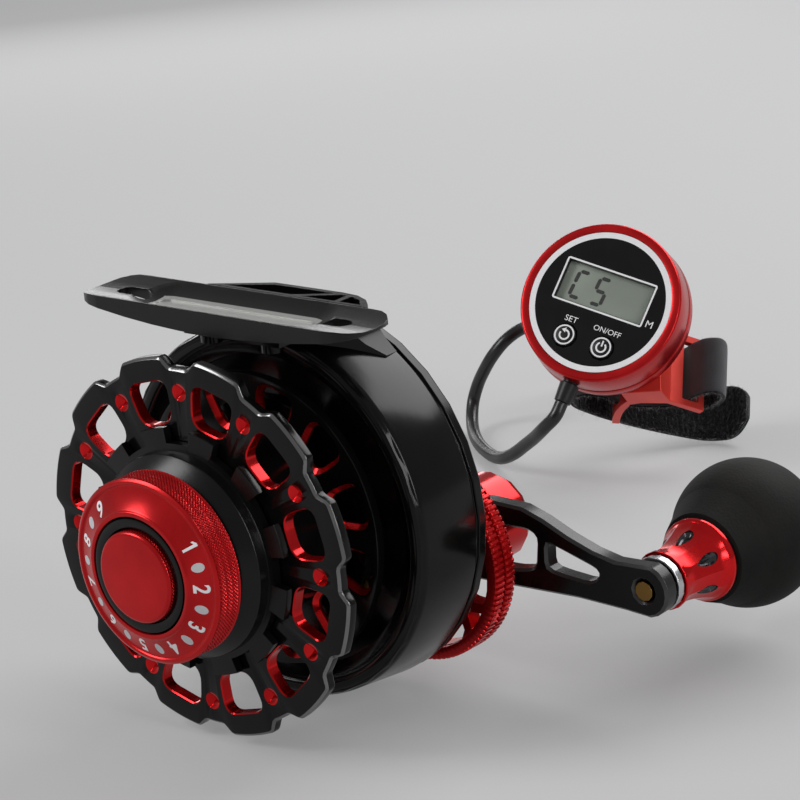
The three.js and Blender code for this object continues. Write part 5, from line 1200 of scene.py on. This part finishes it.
class REEL_OT_strap(bpy.types.Operator):
    """Hook and loop strap through the bracket: smooth band inside, matted loops outside"""
    bl_idname = "reel.strap"
    bl_label = "Strap"
    bl_options = {"REGISTER", "UNDO"}

    HALF_WIDTH = 6.3
    MIDDLE = 8.15  # of the strap, across the saddle
    STEPS, ACROSS = 560, 56
    ROUND_END = 6.0  # length over which the strap narrows
    THREAD = 0.035  # radius of a fibre at its root
    BAND, PILE = (-0.65, -0.12), (-0.14, 0.85)  # inner and outer side of each layer, out from the route
    FIBRES, LINT = 46000, 900

    def execute(self, context):
        self.layer("strap_band", *self.BAND, smooth_webbing("strap_smooth"), inset=0.1)
        self.layer("strap_loops", *self.PILE, loop_pile("strap_loops_pile"), relief=sizes().pile_height, seed=7)
        fibre = pile_fibre("pile_fibre", (0.005, 0.005, 0.006), (0.09, 0.09, 0.1))
        lint = pile_fibre("pile_lint", (0.2, 0.2, 0.21), (0.42, 0.42, 0.43))
        self.fibres("strap_fibres", fibre, self.FIBRES, long=0.5, seed=11)
        self.fibres("strap_lint", lint, self.LINT, long=0.95, seed=12, edge=True)
        return {"FINISHED"}

    def run(self):
        """Even steps along the strap: its points, its outward normals, the length so far and half the width."""
        route, length = spline(STRAP_ROUTE, self.STEPS)
        along = unit(np.gradient(route, axis=0))
        s = np.linspace(0, length, self.STEPS)
        into = np.clip(self.ROUND_END - (length - s), 0, None) / self.ROUND_END
        half = self.HALF_WIDTH * np.sqrt(np.clip(1 - 0.8 * into ** 2, 0, 1))
        return route, np.stack([along[:, 1], -along[:, 0]], -1), s, half

    def layer(self, name, inside, outside, finish, inset=0.0, relief=0.0, seed=1):
        """Layer carried along the strap's route. A point at length s and share v across the strap is
        route(s) + n(s) t, v w(s), where t runs from the inner to the outer depth, and w narrows to the round
        end."""
        route, out, s, half = self.run()
        shape = (self.STEPS, self.ACROSS)
        shares = np.sin(np.linspace(-math.pi / 2, math.pi / 2, self.ACROSS))
        loops = waves(shape, np.random.default_rng(seed), count=60, longest=9) ** 1.5
        upper = outside + loops * relief - relief
        edge = np.sqrt(np.clip(1 - np.abs(shares) ** 8, 0, 1))[None, :]
        middle = (inside + outside) / 2
        height = self.MIDDLE + (half - inset)[:, None] * shares[None, :]
        sides = []
        for face in (upper, np.full(shape, inside)):
            depth = middle + (face - middle) * edge
            flat = route[:, None, :] + out[:, None, :] * depth[..., None]
            sides.append(np.concatenate([flat, height[..., None]], -1))
        loop = np.concatenate([sides[0], sides[1][:, ::-1]], 1)
        v = np.concatenate([shares, shares[::-1]]) * 0.5 + 0.5
        uvs = np.stack(np.broadcast_arrays(s[:, None] * 0.01, v[None, :]), -1).reshape(-1, 2)
        mesh = mesh_of(name, saddle_point(loop.reshape(-1, 3)), grid_faces(self.STEPS, len(v), True), uvs)
        piece = dressed("strap", mesh, finish, degrees=60, name=name)

    def fibres(self, name, finish, count, long, seed, edge=False):
        """Loose fibres on the pile: each a four-sided needle from its root q at length s and share v of the strap
        to q + long (n + 1.4 g), where n looks out of the pile and g is a random vector of length about one. With
        edge they all stand at the strap's two edges."""
        rng = np.random.default_rng(seed)
        route, out, _, half = self.run()
        row = rng.integers(2, self.STEPS - 1, count)
        side = rng.uniform(-1, 1, count) if not edge else rng.choice([-1.0, 1.0], count, p=[0.8, 0.2])
        rim = np.clip((np.abs(side) - 0.9) / 0.1, 0, 1)[:, None]
        normal = np.concatenate([out[row], np.zeros((count, 1))], 1) * (1 - 0.7 * rim)
        normal += np.array([0, 0, 1.0]) * np.sign(side)[:, None] * 0.7 * rim
        depth = 0.5 - 0.35 * rim[:, 0] * rng.uniform(0, 1, count)
        height = self.MIDDLE + half[row] * side * 0.97
        root = np.concatenate([route[row] + out[row] * depth[:, None], height[:, None]], 1)
        lean = rng.normal(0, 0.55, (count, 3))
        tip = root + long * rng.uniform(0.5, 1.0, (count, 1)) * (normal + 1.4 * lean)
        away = unit(np.cross(tip - root, rng.normal(0, 1, (count, 3))), 1e-9)
        other = unit(np.cross(tip - root, away), 1e-9)
        corners = [root + self.THREAD * away, root + self.THREAD * (0.87 * other - 0.5 * away),
                   root - self.THREAD * (0.87 * other + 0.5 * away), tip]
        needle = np.array([[0, 2, 1], [0, 1, 3], [1, 2, 3], [2, 0, 3]])
        faces = (np.arange(count)[:, None, None] * 4 + needle).reshape(-1, 3).tolist()
        mesh = mesh_of(name, saddle_point(np.stack(corners, 1).reshape(-1, 3)), faces)
        new_piece(name, mesh, finish, "frame")


class REEL_OT_cord(bpy.types.Operator):
    """Cord from the counter's gland to the sensor head, and the sensor head"""
    bl_idname = "reel.cord"
    bl_label = "Cord and sensor head"
    bl_options = {"REGISTER", "UNDO"}

    STEPS, SIDES, RADIUS = 420, 24, 1.4

    def execute(self, context):
        steps, sides, radius = self.STEPS, self.SIDES, self.RADIUS
        path, length = spline(CORD_ROUTE, steps)
        along = unit(np.gradient(path, axis=0))
        # Round tube: path + radius (n cos a + b sin a), with n carried along unturned and b square to both
        normals = np.zeros_like(along)
        normals[0] = np.cross(along[0], [0.3, 0.2, 1.0])
        for i in range(1, steps):
            normals[i] = normals[i - 1] - along[i] * (normals[i - 1] @ along[i])
        normals = unit(normals)
        a = np.arange(sides) * TAU / sides
        tube = path[:, None] + radius * (normals[:, None] * np.cos(a)[None, :, None] +
                                         np.cross(along, normals)[:, None] * np.sin(a)[None, :, None])
        uvs = np.stack([np.repeat(np.linspace(0, length * 0.01, steps), sides), np.tile(a / TAU, steps)], -1)
        mesh = mesh_of("counter_cord_piece", reel_point(tube.reshape(-1, 3)), grid_faces(steps, sides, True), uvs)
        cord = dressed("counter_cord", mesh, cord_sheath("cord_sheath"), degrees=50)
        sensor = finished_copies(("sensor_head", moulded_plastic("sensor_black", (0.012,) * 3, 0.4, 0.00001), 0.5))
        tuple(reel_point(CORD_ROUTE[0]))
        [tuple(p) for p in reel_point(path[::2])]
        return {"FINISHED"}


class REEL_OT_studio(bpy.types.Operator):
    """Camera at the photograph's angle, pale floor, plain soft lights and an even surround"""
    bl_idname = "reel.studio"
    bl_label = "Studio"
    bl_options = {"REGISTER", "UNDO"}

    ROUND, UP, ROLL = np.radians([40.95, 17.71, -4.92])
    DISTANCE = 509.69  # from the spool, in millimetres
    SHIFT = (34.64, 25.36)  # of the camera to its right and up, in millimetres
    LENS, SENSOR = 135.04, 36.0
    AIM = np.array([0.0, 0.02, -0.035])  # of the lamps, in metres
    FLOOR_HALF, FLOOR_DROP = 6.0, 0.0001  # half its side, and how far it lies below the solids, in metres
    FLOOR_EVEN = 0.4  # share of the floor's own colour in what is seen of it
    # Right, ahead and up of the aim by so many metres, width, height, and share of the key's power
    LAMPS = {
        "key": (-0.7, -0.2, 0.4, 0.3, 0.45, 2.4),
        "top": (0.4, 0.22, 0.62, 0.75, 0.34, 2.6),
        "back": (-0.1, 0.62, 0.3, 0.5, 0.1, 0.3),
        "side": (0.5, -0.6, 0.16, 0.12, 0.5, 1.1),
    }

    def camera(self):
        """Sets up the camera, and returns the directions of its right, its depth and its top."""
        a, e, roll = self.ROUND, self.UP, self.ROLL
        right = np.array([math.cos(a), math.sin(a), 0])
        ahead = np.array([-math.sin(a) * math.cos(e), math.cos(a) * math.cos(e), -math.sin(e)])
        up = np.cross(right, ahead)
        right, up = (math.cos(roll) * right + math.sin(roll) * up, math.cos(roll) * up - math.sin(roll) * right)
        place = reel_point(-self.DISTANCE * ahead + self.SHIFT[0] * right + self.SHIFT[1] * up)
        lens = bpy.data.cameras.new("camera")
        lens.sensor_width = self.SENSOR
        lens.lens = self.LENS
        lens.clip_start, lens.clip_end = 0.01, 20.0
        camera = placed("camera", lens)
        turn = Matrix([[right[i], up[i], -ahead[i]] for i in range(3)]).to_4x4()
        camera.matrix_world = Matrix.Translation(Vector(place)) @ turn
        bpy.context.scene.camera = camera
        return right, ahead, up

    def area(self, name, place, size, size_y, power):
        """Area light at a place, in metres, that faces the aim."""
        light = bpy.data.lights.new(name, "AREA")
        light.shape = "RECTANGLE"
        light.size, light.size_y, light.energy = size, size_y, power
        aim, place = Vector(self.AIM), Vector(place)
        turn = (aim - place).to_track_quat("-Z", "Y").to_matrix().to_4x4()
        placed(name, light).matrix_world = Matrix.Translation(place) @ turn

    def pale(self, name, colour, share):
        """Matt floor that adds its own even colour where the camera, a reflection or a clear pane looks at it."""
        material = bpy.data.materials.new(name)
        nodes = Nodes(material)
        matt = nodes.node("ShaderNodeBsdfDiffuse", {}, {"Color": (*colour, 1)})
        even = nodes.node("ShaderNodeEmission", {}, {"Color": (*colour, 1), "Strength": 1.0})
        camera, glossy, through = nodes.outputs(nodes.node("ShaderNodeLightPath"),
                                                ("Is Camera Ray", "Is Glossy Ray", "Is Transmission Ray"))
        seen = camera.most(glossy).most(through) * share
        surface = nodes.node("ShaderNodeMixShader", {}, {0: seen, 1: matt, 2: even})
        nodes.add("ShaderNodeOutputMaterial", {}, {"Surface": surface})
        return material

    def surround(self, ambient):
        """Even grey light from all round, the same to the camera and in reflections."""
        world = bpy.context.scene.world = bpy.data.worlds.new("surround")
        nodes = Nodes(world)
        even = nodes.node("ShaderNodeBackground", {}, {"Color": (1, 1, 1, 1), "Strength": ambient})
        nodes.add("ShaderNodeOutputWorld", {}, {"Surface": even})

    def execute(self, context):
        studio = bpy.context.scene.reel_studio
        axes = self.camera()
        mesh, half, level = bpy.data.meshes.new("floor"), self.FLOOR_HALF, CAD_BOX[0][2] - self.FLOOR_DROP
        corners = [(half * x, half * y, level) for x, y in ((-1, -1), (1, -1), (1, 1), (-1, 1))]
        mesh.from_pydata(corners, [], [(0, 1, 2, 3)])
        floor = placed("floor", mesh)
        mesh.materials.append(self.pale("floor_pale", tuple(studio.backdrop), self.FLOOR_EVEN))
        for name, (*steps, size, size_y, share) in self.LAMPS.items():
            place = self.AIM + sum(step * axis for step, axis in zip(steps, axes))
            self.area(name, place, size, size_y, studio.key_power * share)
        self.surround(studio.ambient)
        bpy.context.scene.view_settings.view_transform = "Standard"
        return {"FINISHED"}


OPERATORS = [REEL_OT_studio, REEL_OT_cord, REEL_OT_frame, REEL_OT_flanges, REEL_OT_cover, REEL_OT_dial,
             REEL_OT_dial_marks, REEL_OT_handle, REEL_OT_grip, REEL_OT_counter, REEL_OT_counter_print,
             REEL_OT_bracket, REEL_OT_strap]


class REEL_PT_panel(bpy.types.Panel):
    """Lists the reel's groups of pieces"""
    bl_idname = "REEL_PT_panel"
    bl_label = "Line counter reel"
    bl_space_type = "VIEW_3D"
    bl_region_type = "UI"
    bl_category = "Reel"

    def draw(self, context):
        for group in (context.scene.reel_sizes, context.scene.reel_studio):
            for name in group.__annotations__:
                self.layout.prop(group, name)
        for operator in OPERATORS:
            self.layout.operator(operator.bl_idname)


CLASSES = [ReelSizes, ReelStudio, *OPERATORS, REEL_PT_panel]


def register():
    for made in CLASSES:
        bpy.utils.register_class(made)
    bpy.types.Scene.reel_sizes = PointerProperty(type=ReelSizes)
    bpy.types.Scene.reel_studio = PointerProperty(type=ReelStudio)


def unregister():
    del bpy.types.Scene.reel_sizes
    del bpy.types.Scene.reel_studio
    for made in reversed(CLASSES):
        bpy.utils.unregister_class(made)


def main():
    register()
    for operator in OPERATORS:
        group, name = operator.bl_idname.split(".")
        getattr(getattr(bpy.ops, group), name)()


if __name__ == "__main__":
    main()
